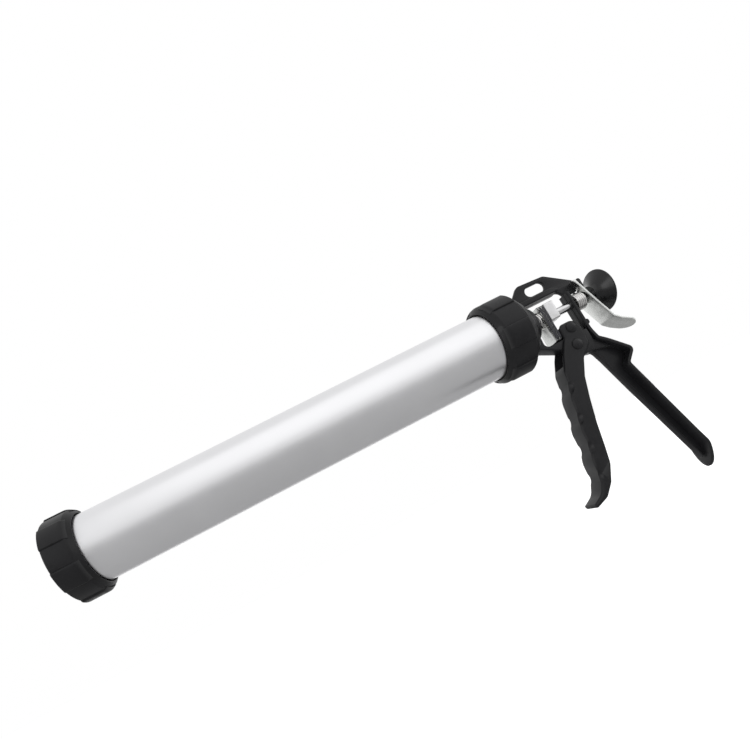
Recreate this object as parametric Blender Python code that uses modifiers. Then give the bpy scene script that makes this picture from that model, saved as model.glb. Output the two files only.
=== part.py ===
"""Caulking gun for 600 ml foil sausages, as separate parts in metres, +Z up.

The barrel lies along X with its mouth towards -X, the handle hangs down and
the pull knob is at +X.  The origin is the middle of the hand grip, and every
part hangs from one empty whose own zero is on the barrel axis, at the rear
face of the front cap.
"""

import math

import bmesh
import bpy
from mathutils import Vector

# Where the barrel axis and the front cap's rear face lie, from the hand grip.
AXIS_ORIGIN = (-0.432, 0.0, 0.105)

# Clearances.
GAP = 0.0003
RUN = 0.0005

# Barrel and its two rings.
TUBE_RADIUS = 0.027
TUBE_WALL = 0.0015
TUBE_FRONT = -0.0135
TUBE_REAR = 0.349
TUBE_VISIBLE = 0.338
BEAD_RADIUS = 0.0290
CAP_LENGTH = 0.0222
CAP_MOUTH_RADIUS = 0.0205
COLLAR_END = 0.362
RING_RADIUS = 0.0339
RECESS_DEPTH = 0.0011
LIP_PROFILE = ((0.0, 0.0287), (0.0012, 0.0300), (0.0030, 0.0319), (0.0048, 0.0334),
               (0.0056, 0.0349))
LUG_COUNT = 6
CAP_LUG_ANGLE = 31.2
COLLAR_LUG_ANGLE = 14.0

# Frame casting.
HUB_REAR = 0.3805
HUB_RADIUS = 0.0146
HUB_SEAT = 0.3715
HUB_WALL = 0.3665
CORE_HALF = 0.0060
WEB_HALF = 0.0017
FLANGE_HALF = 0.0100
WALL_FLANGE_HALF = 0.0060
FLANGE_WALL = 0.0026
WALL_X = 0.4205
BEAD_HALF = 0.0024
HANDLE_END = -0.1680
TONGUE = 0.0230

# Trigger.
PIVOT = (0.4022, -0.0321)
DRIVE_PIN = (0.4051, -0.0176)
CHEEK_OUTER = 0.0086
CHEEK_INNER = 0.0063
PIN_RADIUS = 0.0032
HEAD_RADIUS = 0.0046
HEAD_HEIGHT = 0.0020
BUSH_RADIUS = 0.0046

# Drive plates and rod.
ROD_RADIUS = 0.0034
ROD_FRONT = 0.0
ROD_REAR = 0.4475
PLATE_FRONT = 0.3896
PLATE_WALL = 0.0023
PLATE_HALF = 0.0080
BLOCK_REAR = 0.4032
SPRING_RADIUS = 0.0066
SPRING_WIRE = 0.0008

# Release plate.
RELEASE_PIVOT = (0.4305, 0.0110)
RELEASE_WALL = 0.0020
RELEASE_HALF = 0.0088
TAB_END = 0.4605
TAB_CORNER = 0.0080

# Piston.
PISTON_RADIUS = 0.0251
CUP_FRONT = 0.0080

# Knob.
KNOB_FRONT = 0.4400
KNOB_REAR = 0.4507
KNOB_RIM = 0.0180
KNOB_NECK = 0.0078

SEGMENTS = 36
WELD_DISTANCE = 0.00003


# ---------------------------------------------------------------- set-up

def clear_scene():
    """Remove whatever the file holds, and return the two collections."""
    for item in list(bpy.data.objects):
        bpy.data.objects.remove(item, do_unlink=True)
    parts = bpy.data.collections.new("caulking_gun")
    cutters = bpy.data.collections.new("cutters")
    for collection in (parts, cutters):
        bpy.context.scene.collection.children.link(collection)
    return parts, cutters


PARTS, CUTTERS = clear_scene()


def empty(name, x, z, parent=None):
    """An empty at (x, 0, z) of its parent."""
    item = bpy.data.objects.new(name, None)
    item.empty_display_size = 0.01
    item.location = (x, 0.0, z)
    item.parent = parent
    PARTS.objects.link(item)
    return item


GUN = empty("gun_axis", 0.0, 0.0)
GUN.location = AXIS_ORIGIN


def material(name, colour, roughness, metallic=0.0):
    """A Principled material of one colour."""
    item = bpy.data.materials.new(name)
    item.use_nodes = True
    shader = item.node_tree.nodes["Principled BSDF"]
    shader.inputs["Base Color"].default_value = (*colour, 1.0)
    shader.inputs["Roughness"].default_value = roughness
    shader.inputs["Metallic"].default_value = metallic
    item.diffuse_color = (*colour, 1.0)
    return item


ALUMINIUM = material("satin_aluminium", (0.78, 0.78, 0.79), 0.38, 1.0)
BLACK_PLASTIC = material("black_plastic", (0.03, 0.03, 0.03), 0.45)
BLACK_PAINT = material("black_paint", (0.04, 0.04, 0.042), 0.40)
ZINC = material("zinc_plate", (0.72, 0.73, 0.75), 0.30, 1.0)
STEEL = material("bright_steel", (0.66, 0.66, 0.67), 0.25, 1.0)
NYLON = material("white_nylon", (0.80, 0.79, 0.75), 0.50)
RUBBER = material("black_rubber", (0.02, 0.02, 0.02), 0.75)


def place(name, data, finish=None, parent=GUN, cutter=False):
    """Link an object for the data, as a part or as a cutter."""
    item = bpy.data.objects.new(name, data)
    item.parent = parent
    if cutter:
        CUTTERS.objects.link(item)
        item.hide_render = True
        item.display_type = "WIRE"
    else:
        PARTS.objects.link(item)
    if finish:
        data.materials.append(finish)
    return item


def own_origin(item, parent):
    """Hang an item made in barrel coordinates from a joint's empty."""
    item.parent = parent
    shift = Vector(parent.location)
    item.location = Vector(item.location) - shift
    return item


# ---------------------------------------------------------------- shapes

def rounded(corners, step=20.0):
    """Points of an outline whose corners (x, z, radius) are turned into arcs."""
    points = []
    count = len(corners)
    for index, (x, z, radius) in enumerate(corners):
        here = Vector((x, z))
        if radius <= 0.0:
            points.append(here)
            continue
        before = (Vector(corners[index - 1][:2]) - here).normalized()
        after = (Vector(corners[(index + 1) % count][:2]) - here).normalized()
        half = before.angle(after) / 2.0
        reach = radius / math.tan(half)
        centre = here + (before + after).normalized() * (radius / math.sin(half))
        start = here + before * reach - centre
        turn = math.pi - 2.0 * half
        if before.x * after.y - before.y * after.x > 0.0:
            turn = -turn
        steps = max(1, math.ceil(abs(math.degrees(turn)) / step))
        for number in range(steps + 1):
            angle = turn * number / steps
            cosine, sine = math.cos(angle), math.sin(angle)
            points.append(centre + Vector((start.x * cosine - start.y * sine,
                                           start.x * sine + start.y * cosine)))
    return points


def circle(x, z, radius, count=24):
    """Points of a circle."""
    return [Vector((x + radius * math.cos(2.0 * math.pi * k / count),
                    z + radius * math.sin(2.0 * math.pi * k / count)))
            for k in range(count)]


def strip(path, wall):
    """Outline of a band of even thickness along an open path of points."""
    left, right = [], []
    for index, point in enumerate(path):
        before = path[max(index - 1, 0)]
        after = path[min(index + 1, len(path) - 1)]
        along = (after - before).normalized()
        side = Vector((-along.y, along.x)) * (wall / 2.0)
        left.append(point + side)
        right.append(point - side)
    return left + right[::-1]


def flat_curve(name, outlines, half, chamfer=0.0):
    """A filled 2D curve, with an outline for each loop, extruded both ways."""
    curve = bpy.data.curves.new(name, "CURVE")
    curve.dimensions = "2D"
    curve.fill_mode = "BOTH"
    curve.extrude = half - chamfer
    curve.bevel_depth = chamfer
    curve.bevel_resolution = 0
    curve.offset = -chamfer
    for outline in outlines:
        spline = curve.splines.new("POLY")
        spline.points.add(len(outline) - 1)
        for point, corner in zip(spline.points, outline):
            point.co = (corner[0], corner[1], 0.0, 1.0)
        spline.use_cyclic_u = True
    return curve


def curve_mesh(name, curve):
    """The mesh of a curve, with its caps welded on."""
    holder = bpy.data.objects.new(name, curve)
    bpy.context.scene.collection.objects.link(holder)
    graph = bpy.context.evaluated_depsgraph_get()
    mesh = bpy.data.meshes.new_from_object(holder.evaluated_get(graph))
    bpy.data.objects.remove(holder, do_unlink=True)
    bpy.data.curves.remove(curve)
    work = bmesh.new()
    work.from_mesh(mesh)
    bmesh.ops.remove_doubles(work, verts=work.verts, dist=0.000002)
    bmesh.ops.recalc_face_normals(work, faces=work.faces)
    work.to_mesh(mesh)
    work.free()
    mesh.name = name
    return mesh


def side_plate(name, outlines, half, finish=None, cutter=False, chamfer=0.0):
    """A plate whose outline is in the XZ plane and whose thickness is along Y."""
    mesh = curve_mesh(name, flat_curve(name, outlines, half, chamfer))
    item = place(name, mesh, finish, cutter=cutter)
    item.rotation_euler = (math.pi / 2.0, 0.0, 0.0)
    return item


def cross_plate(name, outlines, x_front, x_rear, finish=None, cutter=False):
    """A plate whose outline (z, y) is square to the barrel axis."""
    turned_outlines = [[(-z, y) for z, y in outline] for outline in outlines]
    half = (x_rear - x_front) / 2.0
    mesh = curve_mesh(name, flat_curve(name, turned_outlines, half))
    item = place(name, mesh, finish, cutter=cutter)
    item.rotation_euler = (0.0, math.pi / 2.0, 0.0)
    item.location = ((x_front + x_rear) / 2.0, 0.0, 0.0)
    return item


def turned(name, profile, finish=None, cutter=False, closed=False, segments=SEGMENTS):
    """A turned part: profile points (x, radius), from the rear down the outer side."""
    mesh = bpy.data.meshes.new(name)
    vertices = [(radius, 0.0, x) for x, radius in profile]
    edges = [(k, k + 1) for k in range(len(profile) - 1)]
    if closed:
        edges.append((len(profile) - 1, 0))
    mesh.from_pydata(vertices, edges, [])
    item = place(name, mesh, finish, cutter=cutter)
    item.rotation_euler = (0.0, math.pi / 2.0, 0.0)
    screw = item.modifiers.new("turn", "SCREW")
    screw.axis = "Z"
    screw.steps = segments
    screw.render_steps = segments
    screw.use_merge_vertices = True
    screw.merge_threshold = 0.000005
    screw.use_smooth_shade = False
    return item


def combine(item, operation, *tools, solver="EXACT"):
    """Join or cut an item with the tools, one Boolean for each."""
    for tool in tools:
        step = item.modifiers.new(tool.name, "BOOLEAN")
        step.operation = operation
        step.solver = solver
        step.object = tool
        weld = item.modifiers.new(tool.name + "_weld", "WELD")
        weld.merge_threshold = WELD_DISTANCE
    return item


def pin_along_y(name, x, z, radius, half, finish=None, cutter=False, segments=24):
    """A plain round pin across the gun."""
    mesh = bpy.data.meshes.new(name)
    work = bmesh.new()
    bmesh.ops.create_cone(work, cap_ends=True, segments=segments, radius1=radius,
                          radius2=radius, depth=2.0 * half)
    work.to_mesh(mesh)
    work.free()
    item = place(name, mesh, finish, cutter=cutter)
    item.rotation_euler = (math.pi / 2.0, 0.0, 0.0)
    item.location = (x, 0.0, z)
    return item


def coil(name, x_start, x_end, radius, wire, turns, finish, parent=GUN):
    """A compression spring along X with closed, flat-lying end turns."""
    per_turn = 10
    count = int(per_turn * turns)
    inner_start = x_start + wire
    travel = (x_end - wire) - inner_start
    curve = bpy.data.curves.new(name, "CURVE")
    curve.dimensions = "3D"
    curve.bevel_depth = wire
    curve.bevel_resolution = 2
    curve.use_fill_caps = True
    spline = curve.splines.new("POLY")
    spline.points.add(count)
    closed_turn = 2.0 * wire * 1.1
    for number in range(count + 1):
        turn = number / per_turn
        if turn <= 1.0:
            rise = closed_turn * turn
        elif turn >= turns - 1.0:
            rise = travel - closed_turn * (turns - turn)
        else:
            share = (turn - 1.0) / (turns - 2.0)
            rise = closed_turn + (travel - 2.0 * closed_turn) * share
        angle = 2.0 * math.pi * turn
        spline.points[number].co = (inner_start + rise, radius * math.cos(angle),
                                    radius * math.sin(angle), 1.0)
    mesh = curve_mesh(name, curve)
    return place(name, mesh, finish, parent=parent)


# ---------------------------------------------------------------- barrel

def lug_outline(centre_angle, segments_per_lug=3):
    """Outline (z, y) of a ring's outside, with six raised lugs and six recesses.

    The angle is from the -Y side, down towards -Z, to the middle of one lug.
    """
    outline = []
    sector = 360.0 / LUG_COUNT
    half_lug = sector / 4.0
    flank = 1.5  # degrees between a lug and its recess
    for lug in range(LUG_COUNT):
        middle = centre_angle + sector * lug
        spans = ((RING_RADIUS, middle - half_lug + flank, middle + half_lug - flank),
                 (RING_RADIUS - RECESS_DEPTH, middle + half_lug, middle + 3.0 * half_lug))
        for radius, first, last in spans:
            for k in range(segments_per_lug + 1):
                angle = math.radians(first + (last - first) * k / segments_per_lug)
                outline.append((-radius * math.sin(angle), -radius * math.cos(angle)))
    return outline


def make_barrel():
    """The tube, the front cap with its gasket, and the rear collar."""
    inside = TUBE_RADIUS - TUBE_WALL
    turned("barrel_tube",
           [(TUBE_REAR, BEAD_RADIUS), (TUBE_REAR - 0.002, BEAD_RADIUS),
            (TUBE_REAR - 0.0028, TUBE_RADIUS), (TUBE_FRONT, TUBE_RADIUS),
            (TUBE_FRONT, inside), (TUBE_REAR, inside)],
           ALUMINIUM, closed=True, segments=48)

    skirt = TUBE_RADIUS + 0.0011
    bore = TUBE_RADIUS + GAP
    shoulder = TUBE_FRONT - 0.0022
    lip = [(-along, radius) for along, radius in LIP_PROFILE]
    cap_body = turned("cap_body",
                      [*lip, (-CAP_LENGTH + 0.0012, RING_RADIUS + 0.001),
                       (-CAP_LENGTH + 0.0012, RING_RADIUS),
                       (-CAP_LENGTH + 0.0004, RING_RADIUS - 0.0005),
                       (-CAP_LENGTH, RING_RADIUS - 0.0014),
                       (-CAP_LENGTH, CAP_MOUTH_RADIUS + 0.001),
                       (-CAP_LENGTH + 0.001, CAP_MOUTH_RADIUS),
                       (shoulder, CAP_MOUTH_RADIUS), (shoulder, bore),
                       (-0.0040, bore), (-0.0040, skirt), (0.0, skirt)],
                      cutter=True, closed=True, segments=48)
    cap = cross_plate("front_cap", [lug_outline(CAP_LUG_ANGLE)], -CAP_LENGTH - 0.001, 0.001,
                      BLACK_PLASTIC)
    combine(cap, "INTERSECT", cap_body)
    turned("cap_gasket",
           [(TUBE_FRONT - GAP, TUBE_RADIUS - 0.0004), (shoulder + GAP, TUBE_RADIUS - 0.0004),
            (shoulder + GAP, CAP_MOUTH_RADIUS + 0.0015),
            (TUBE_FRONT - GAP, CAP_MOUTH_RADIUS + 0.0015)],
           RUBBER, closed=True, segments=36)

    lip_end = TUBE_REAR - 0.0032
    thread = 0.0306  # bore over the frame's spigot
    lip = [(TUBE_VISIBLE + along, radius) for along, radius in reversed(LIP_PROFILE)]
    collar_body = turned("collar_body",
                         [(COLLAR_END, RING_RADIUS - 0.0008),
                          (COLLAR_END - 0.0008, RING_RADIUS + 0.001), *lip,
                          (TUBE_VISIBLE, skirt), (TUBE_VISIBLE + 0.003, skirt),
                          (TUBE_VISIBLE + 0.003, bore), (lip_end, bore),
                          (lip_end, thread), (COLLAR_END, thread)],
                         cutter=True, closed=True, segments=48)
    collar = cross_plate("rear_collar", [lug_outline(COLLAR_LUG_ANGLE)],
                         TUBE_VISIBLE - 0.001, COLLAR_END + 0.001, BLACK_PLASTIC)
    combine(collar, "INTERSECT", collar_body)


# ---------------------------------------------------------------- frame

def make_frame():
    """The die-cast frame: dome, window, top plate, rear wall and handle."""
    ring = 0.0303  # spigot that the collar turns on
    ring_front = TUBE_REAR + GAP
    frame = turned("frame",
                   [(HUB_REAR + 0.002, 0.0), (HUB_REAR + 0.002, HUB_RADIUS), (0.3780, 0.0155),
                    (0.3745, 0.0185), (0.3715, 0.0228), (0.3685, 0.0270), (0.3655, 0.0300),
                    (COLLAR_END + 0.0006, 0.0318), (COLLAR_END + 0.0004, ring),
                    (ring_front, ring), (ring_front, 0.0)],
                   BLACK_PAINT, segments=48)

    core = side_plate("frame_core", [rounded([
        (0.3690, 0.0195, 0), (0.4120, 0.0195, 0.004), (0.4178, 0.0150, 0.003),
        (0.4185, -0.0340, 0.002), (0.4290, -0.0455, 0), (0.4120, -0.0420, 0),
        (0.4045, -0.0422, 0.003), (0.3930, -0.0320, 0.006), (0.3740, -0.0225, 0),
        (0.3690, -0.0205, 0)])], CORE_HALF, cutter=True)

    path = rounded([
        (WALL_X, 0.0105, 0), (WALL_X + 0.0005, -0.0350, 0.004), (0.4405, -0.0553, 0.0030),
        (0.4310, -0.0645, 0.004), (0.4503, -0.1378, 0.010), (0.4536, -0.1490, 0.010),
        (0.4512, HANDLE_END, 0)])
    top_plate = rounded([
        (0.3720, 0.0150, 0), (0.3760, 0.0238, 0.004), (0.3868, 0.0342, 0.006),
        (0.4120, 0.0327, 0.006), (0.4330, 0.0182, 0.003), (0.4332, 0.0086, 0.0015),
        (0.4200, 0.0082, 0)])
    front_edge = [Vector(point) for point in
                  ((0.4488, -0.1600), (0.4456, -0.1480), (0.4366, -0.1175), (0.4273, -0.0857),
                   (0.4184, -0.0528), (0.4157, -0.0446), (0.4125, -0.0400), (0.3800, -0.0225))]
    web = side_plate("frame_web", [top_plate + path[1:-1] + front_edge], WEB_HALF, cutter=True)
    flange = side_plate("frame_flange", [strip(path, FLANGE_WALL)], FLANGE_HALF,
                        cutter=True)
    tongue = [(HANDLE_END + TONGUE * (1.0 - math.cos(angle)), -FLANGE_HALF * math.sin(angle), 0)
              for angle in (math.radians(15.0 * k) for k in range(6, -7, -1))]
    flange_width = cross_plate("flange_width", [rounded([
        (0.0120, -WALL_FLANGE_HALF, 0), (-0.0230, -WALL_FLANGE_HALF, 0.006),
        (-0.0420, -FLANGE_HALF, 0.006), *tongue, (-0.0420, FLANGE_HALF, 0.006),
        (-0.0230, WALL_FLANGE_HALF, 0.006), (0.0120, WALL_FLANGE_HALF, 0)])],
        0.4100, 0.4600, cutter=True)
    combine(flange, "INTERSECT", flange_width, solver="MANIFOLD")
    bead_path = [Vector(point) for point in
                 ((0.4490, -0.1580), (0.4462, -0.1480), (0.4374, -0.1175), (0.4281, -0.0857),
                  (0.4192, -0.0528), (0.4165, -0.0446), (0.4140, -0.0410))]
    bead = side_plate("frame_bead", [strip(bead_path, 0.0018)], BEAD_HALF, cutter=True)
    lug = side_plate("frame_lug", [rounded([
        (0.4310, 0.0095, 0), (0.4392, 0.0090, 0.0015), (0.4392, 0.0178, 0.0020),
        (0.4365, 0.0178, 0.0010), (0.4350, 0.0142, 0.0008), (0.4310, 0.0142, 0)])],
        0.0020, cutter=True)
    nub = side_plate("frame_nub", [rounded([
        (0.4205, -0.0215, 0), (0.4262, -0.0205, 0.0018), (0.4262, -0.0165, 0.0018),
        (0.4205, -0.0155, 0)])], 0.0030, cutter=True)
    combine(frame, "UNION", core, web, flange, bead, lug, nub, solver="MANIFOLD")

    window = side_plate("window", [rounded([
        (HUB_REAR, 0.0150, 0.003), (0.4190, 0.0150, 0.006), (0.4190, -0.0235, 0.003),
        (0.3790, -0.0232, 0.004), (HUB_REAR, -0.0080, 0.004)])], 0.0200, cutter=True)
    seat_bore = turned("spring_seat", [(HUB_REAR + 0.0008, 0.0), (HUB_REAR + 0.0008, 0.0088),
                                       (HUB_SEAT, 0.0088), (HUB_SEAT, 0.0)],
                       cutter=True, segments=40)
    rod_bore = turned("rod_bore", [(0.4300, 0.0), (0.4300, ROD_RADIUS + RUN),
                                   (0.3550, ROD_RADIUS + RUN), (0.3550, 0.0)],
                      cutter=True, segments=32)
    dome_hollow = turned("dome_hollow", [(HUB_WALL, 0.0), (HUB_WALL, 0.0150), (0.3640, 0.0225),
                                         (0.3600, 0.0262), (0.3480, 0.0262), (0.3480, 0.0)],
                         cutter=True, segments=48)
    slot = side_plate("hanging_slot", [rounded([
        (0.3910, 0.0300, 0.0044), (0.3910, 0.0212, 0.0044), (0.4090, 0.0212, 0.0044),
        (0.4090, 0.0300, 0.0044)])], 0.0200, cutter=True)
    pivot_hole = pin_along_y("pivot_hole", *PIVOT, BUSH_RADIUS + 0.0001, 0.0200, cutter=True)
    combine(frame, "DIFFERENCE", window, seat_bore, rod_bore, dome_hollow, slot, pivot_hole,
            solver="MANIFOLD")


# ---------------------------------------------------------------- trigger

FRONT_PROFILE = [
    (0.3458, -0.1490, 0.0013), (0.3556, -0.1440, 0.006), (0.3615, -0.1330, 0.006),
    (0.3628, -0.1190, 0.010), (0.3672, -0.1080, 0.008), (0.3680, -0.0940, 0.010),
    (0.3718, -0.0840, 0.008), (0.3742, -0.0690, 0.010), (0.3785, -0.0590, 0.008),
    (0.3808, -0.0470, 0.006)]
HEAD_PROFILE = [
    (0.3872, -0.0350, 0.006), (0.3954, -0.0232, 0.002), (0.3954, -0.0150, 0.003),
    (0.3990, -0.0120, 0.003), (0.4095, -0.0120, 0.006), (0.4138, -0.0200, 0.006),
    (0.4125, -0.0360, 0.007), (0.4020, -0.0440, 0.008)]
BACK_PROFILE = [
    (0.3942, -0.0580, 0.010), (0.3882, -0.0755, 0.020), (0.3825, -0.0950, 0.020),
    (0.3784, -0.1130, 0.020), (0.3748, -0.1270, 0.012), (0.3673, -0.1402, 0.010),
    (0.3585, -0.1486, 0.006), (0.3468, -0.1524, 0.0013)]


def make_trigger():
    """The trigger channel with its two riveted pins and the spacer between its cheeks."""
    hinge = empty("trigger_hinge", *PIVOT, parent=GUN)
    outline = rounded(FRONT_PROFILE + HEAD_PROFILE + BACK_PROFILE)
    trigger = side_plate("trigger", [outline], CHEEK_OUTER, BLACK_PAINT, chamfer=0.0016)

    wall = 0.0030
    inner_front = [(x + wall, z, radius) for x, z, radius in FRONT_PROFILE[1:]]
    channel = side_plate("trigger_channel", [rounded(
        inner_front + [(0.3815, -0.0370, 0.003), (0.3700, -0.0280, 0), (0.3700, 0.0, 0),
                       (0.4400, 0.0, 0), (0.4400, -0.1700, 0), (0.3650, -0.1700, 0)])],
        CHEEK_INNER, cutter=True)
    holes = [pin_along_y(name, x, z, PIN_RADIUS + 0.0001, 0.0200, cutter=True)
             for name, (x, z) in (("trigger_pivot_hole", PIVOT), ("drive_pin_hole", DRIVE_PIN))]
    combine(trigger, "DIFFERENCE", channel, *holes)

    pieces = [trigger, channel, *holes]
    for name, (x, z) in (("pivot_pin", PIVOT), ("drive_pin", DRIVE_PIN)):
        pin = turned(name, rivet_profile(), BLACK_PAINT, segments=16)
        pin.rotation_euler = (math.pi / 2.0, 0.0, 0.0)
        pin.location = (x, 0.0, z)
        pieces.append(pin)

    spacer_half = CHEEK_INNER - GAP
    spacer = hollow_pin("trigger_spacer", *DRIVE_PIN, 0.0044, PIN_RADIUS + 0.0001, spacer_half,
                        STEEL)
    pieces.append(spacer)
    for piece in pieces:
        own_origin(piece, hinge)
    hollow_pin("pivot_bush", *PIVOT, BUSH_RADIUS, PIN_RADIUS + 0.0001, CHEEK_INNER - GAP, STEEL)


def rivet_profile():
    """Profile (along, radius) of a pin with a domed head at each end."""
    head_start = CHEEK_OUTER + GAP / 2.0
    dome = [(head_start + HEAD_HEIGHT * math.sin(math.radians(angle)),
             HEAD_RADIUS * math.cos(math.radians(angle))) for angle in (90, 67, 45, 22, 0)]
    rear = [(-along, radius) for along, radius in reversed(dome)]
    return [*dome, (head_start, PIN_RADIUS), (-head_start, PIN_RADIUS), *rear]


def hollow_pin(name, x, z, outer, inner, half, finish):
    """A plain bush across the gun."""
    bush = turned(name, [(half, outer), (-half, outer), (-half, inner), (half, inner)],
                  finish, closed=True, segments=16)
    bush.rotation_euler = (math.pi / 2.0, 0.0, 0.0)
    bush.location = (x, 0.0, z)
    return bush


# ---------------------------------------------------------------- drive

def make_drive():
    """The two grip plates and the drive block that the trigger pushes along the rod."""
    carriage = empty("drive_slide", PLATE_FRONT, 0.0, parent=GUN)
    hole = [Vector(point) for point in circle(0.0, 0.0, ROD_RADIUS + RUN, 24)]
    top, bottom = 0.0100, -0.0226
    plate_outline = rounded([(top, -PLATE_HALF, 0.004), (top, PLATE_HALF, 0.004),
                             (bottom, PLATE_HALF, 0.003), (bottom, -PLATE_HALF, 0.003)])
    pieces = []
    for number, name in enumerate(("grip_plate_front", "grip_plate_rear")):
        start = PLATE_FRONT + number * (PLATE_WALL + GAP)
        pieces.append(cross_plate(name, [plate_outline, hole], start, start + PLATE_WALL, ZINC))
    block_outline = rounded([(0.0098, -PLATE_HALF, 0.001), (0.0098, PLATE_HALF, 0.001),
                             (-0.0056, PLATE_HALF, 0.001), (-0.0056, -PLATE_HALF, 0.001)], 45.0)
    start = PLATE_FRONT + 2.0 * (PLATE_WALL + GAP)
    pieces.append(cross_plate("drive_block", [block_outline, hole], start, BLOCK_REAR, STEEL))
    for piece in pieces:
        own_origin(piece, carriage)
    coil("return_spring", HUB_SEAT + GAP, PLATE_FRONT - GAP, SPRING_RADIUS, SPRING_WIRE, 6.5,
         STEEL)


def make_release():
    """The release plate with its thumb tab, and the spring that tips it back."""
    hinge = empty("release_hinge", *RELEASE_PIVOT, parent=GUN)
    half_wall = RELEASE_WALL / 2.0
    path = rounded([(0.4286, 0.0165, 0), (0.4428, -0.0250, 0.004), (0.4480, -0.0297, 0.004),
                    (TAB_END, -0.0376, 0)])
    plate = side_plate("release_plate", [strip(path, RELEASE_WALL)], RELEASE_HALF, ZINC)
    hole = turned("release_hole", [(0.4500, 0.0), (0.4500, ROD_RADIUS + 0.0011),
                                   (0.4200, ROD_RADIUS + 0.0011), (0.4200, 0.0)],
                  cutter=True, segments=32)
    notch = cross_plate("release_notch", [rounded([
        (0.0300, -0.0026, 0), (0.0300, 0.0026, 0), (0.0072, 0.0026, 0.002),
        (0.0072, -0.0026, 0.002)])], 0.4150, 0.4500, cutter=True)
    corners = tab_corner_cutters(TAB_CORNER)
    combine(plate, "DIFFERENCE", hole, notch, *corners)
    for piece in (plate, hole, notch, *corners):
        own_origin(piece, hinge)
    coil("release_spring", WALL_X + FLANGE_WALL / 2.0 + GAP, 0.4332 - half_wall, SPRING_RADIUS,
         SPRING_WIRE, 5.0, STEEL)


def tab_corner_cutters(radius):
    """Two cutters that round the free corners of the thumb tab, seen from above."""
    tools = []
    beyond = TAB_END + 0.0020
    for name, side in (("tab_corner_near", -1.0), ("tab_corner_far", 1.0)):
        outline = [(beyond, side * (RELEASE_HALF - radius))]
        centre = (TAB_END + 0.0004 - radius, side * (RELEASE_HALF - radius))
        for step in range(7):
            angle = math.radians(15.0 * step)
            outline.append((centre[0] + radius * math.cos(angle),
                            centre[1] + side * radius * math.sin(angle)))
        outline += [(centre[0], side * 0.0120), (beyond, side * 0.0120)]
        mesh = curve_mesh(name, flat_curve(name, [outline], 0.0200))
        tool = place(name, mesh, cutter=True)
        tool.location = (0.0, 0.0, -0.0340)
        tools.append(tool)
    return tools


# ---------------------------------------------------------------- rod

def hex_outline(flats):
    """Outline (z, y) of a hexagon measured across its flats."""
    radius = flats / 2.0 / math.cos(math.radians(30.0))
    return [(radius * math.cos(math.radians(60.0 * k)), radius * math.sin(math.radians(60.0 * k)))
            for k in range(6)]


def nut(name, front, rear, flats, carriage):
    """A plain hexagon nut on the rod."""
    hole = circle(0.0, 0.0, ROD_RADIUS + GAP, 24)
    return own_origin(cross_plate(name, [hex_outline(flats), hole], front, rear, ZINC), carriage)


def disc(name, front, rear, radius, finish, carriage):
    """A flat disc with a hole for the rod."""
    inner = ROD_RADIUS + GAP
    return own_origin(turned(name, [(rear, radius), (front, radius), (front, inner),
                                    (rear, inner)], finish, closed=True, segments=32), carriage)


def make_rod():
    """The rod with its knob, and the piston stack at its front end."""
    carriage = empty("rod_slide", 0.0, 0.0, parent=GUN)
    rod = turned("rod", [(ROD_REAR, 0.0), (ROD_REAR, ROD_RADIUS - 0.0005),
                         (ROD_REAR - 0.0005, ROD_RADIUS), (ROD_FRONT + 0.0005, ROD_RADIUS),
                         (ROD_FRONT, ROD_RADIUS - 0.0005), (ROD_FRONT, 0.0)],
                 STEEL, segments=32)
    own_origin(rod, carriage)

    bore = ROD_RADIUS + GAP
    length = KNOB_REAR - KNOB_FRONT
    flare = []
    for step in range(6):
        share = step / 5.0
        radius = KNOB_NECK + (KNOB_RIM - KNOB_NECK) * (1.0 - math.cos(share * math.pi / 2.0))
        flare.append((KNOB_FRONT + length * 0.86 * share, radius))
    knob = turned("knob", [(KNOB_REAR, 0.0120), (KNOB_REAR, KNOB_RIM - 0.0012),
                           (KNOB_REAR - 0.0004, KNOB_RIM), *reversed(flare),
                           (KNOB_FRONT, bore), (KNOB_REAR - 0.0060, bore),
                           (KNOB_REAR - 0.0060, 0.0075), (KNOB_REAR - 0.0005, 0.0090)],
                  BLACK_PLASTIC, closed=True)
    own_origin(knob, carriage)
    nut("knob_nut", KNOB_REAR - 0.0057, KNOB_REAR - 0.0024, 0.0100, carriage)

    nut("piston_front_nut", 0.0014, 0.0060, 0.0110, carriage)
    disc("piston_front_washer", 0.0063, 0.0077, 0.0095, ZINC, carriage)
    disc("piston_disc", CUP_FRONT, 0.0130, PISTON_RADIUS - 0.0006, NYLON, carriage)
    cup = turned("piston_cup",
                 [(0.0240, PISTON_RADIUS), (0.0160, PISTON_RADIUS - 0.0003),
                  (0.0133, PISTON_RADIUS - 0.0012), (0.0133, bore), (0.0165, bore),
                  (0.0165, PISTON_RADIUS - 0.0032), (0.0240, PISTON_RADIUS - 0.0016)],
                 RUBBER, closed=True, segments=36)
    own_origin(cup, carriage)
    disc("piston_rear_washer", 0.0168, 0.0186, 0.0150, ZINC, carriage)
    nut("piston_rear_nut", 0.0189, 0.0235, 0.0110, carriage)


def smooth_round_parts():
    """Shade every part smooth, and keep edges sharper than 35 degrees."""
    for item in PARTS.objects:
        if item.type == "MESH":
            item.data.shade_smooth()
            item.data.set_sharp_from_angle(angle=math.radians(35.0))


make_barrel()
make_frame()
make_trigger()
make_drive()
make_release()
make_rod()
smooth_round_parts()
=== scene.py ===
"""A caulking gun for foil sausages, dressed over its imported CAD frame.

Every sub-assembly is a class that holds its own sizes in metres.  Shapes are
worked out in gun coordinates, with x rearwards along the barrel from the front
cap's rear face and z up from the barrel axis, and then set in the row frame.
"""

from __future__ import annotations

import logging
import math
from dataclasses import dataclass, field
from enum import Enum
from typing import Callable, Sequence

import bmesh
import bpy
from mathutils import Matrix, Vector

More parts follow.
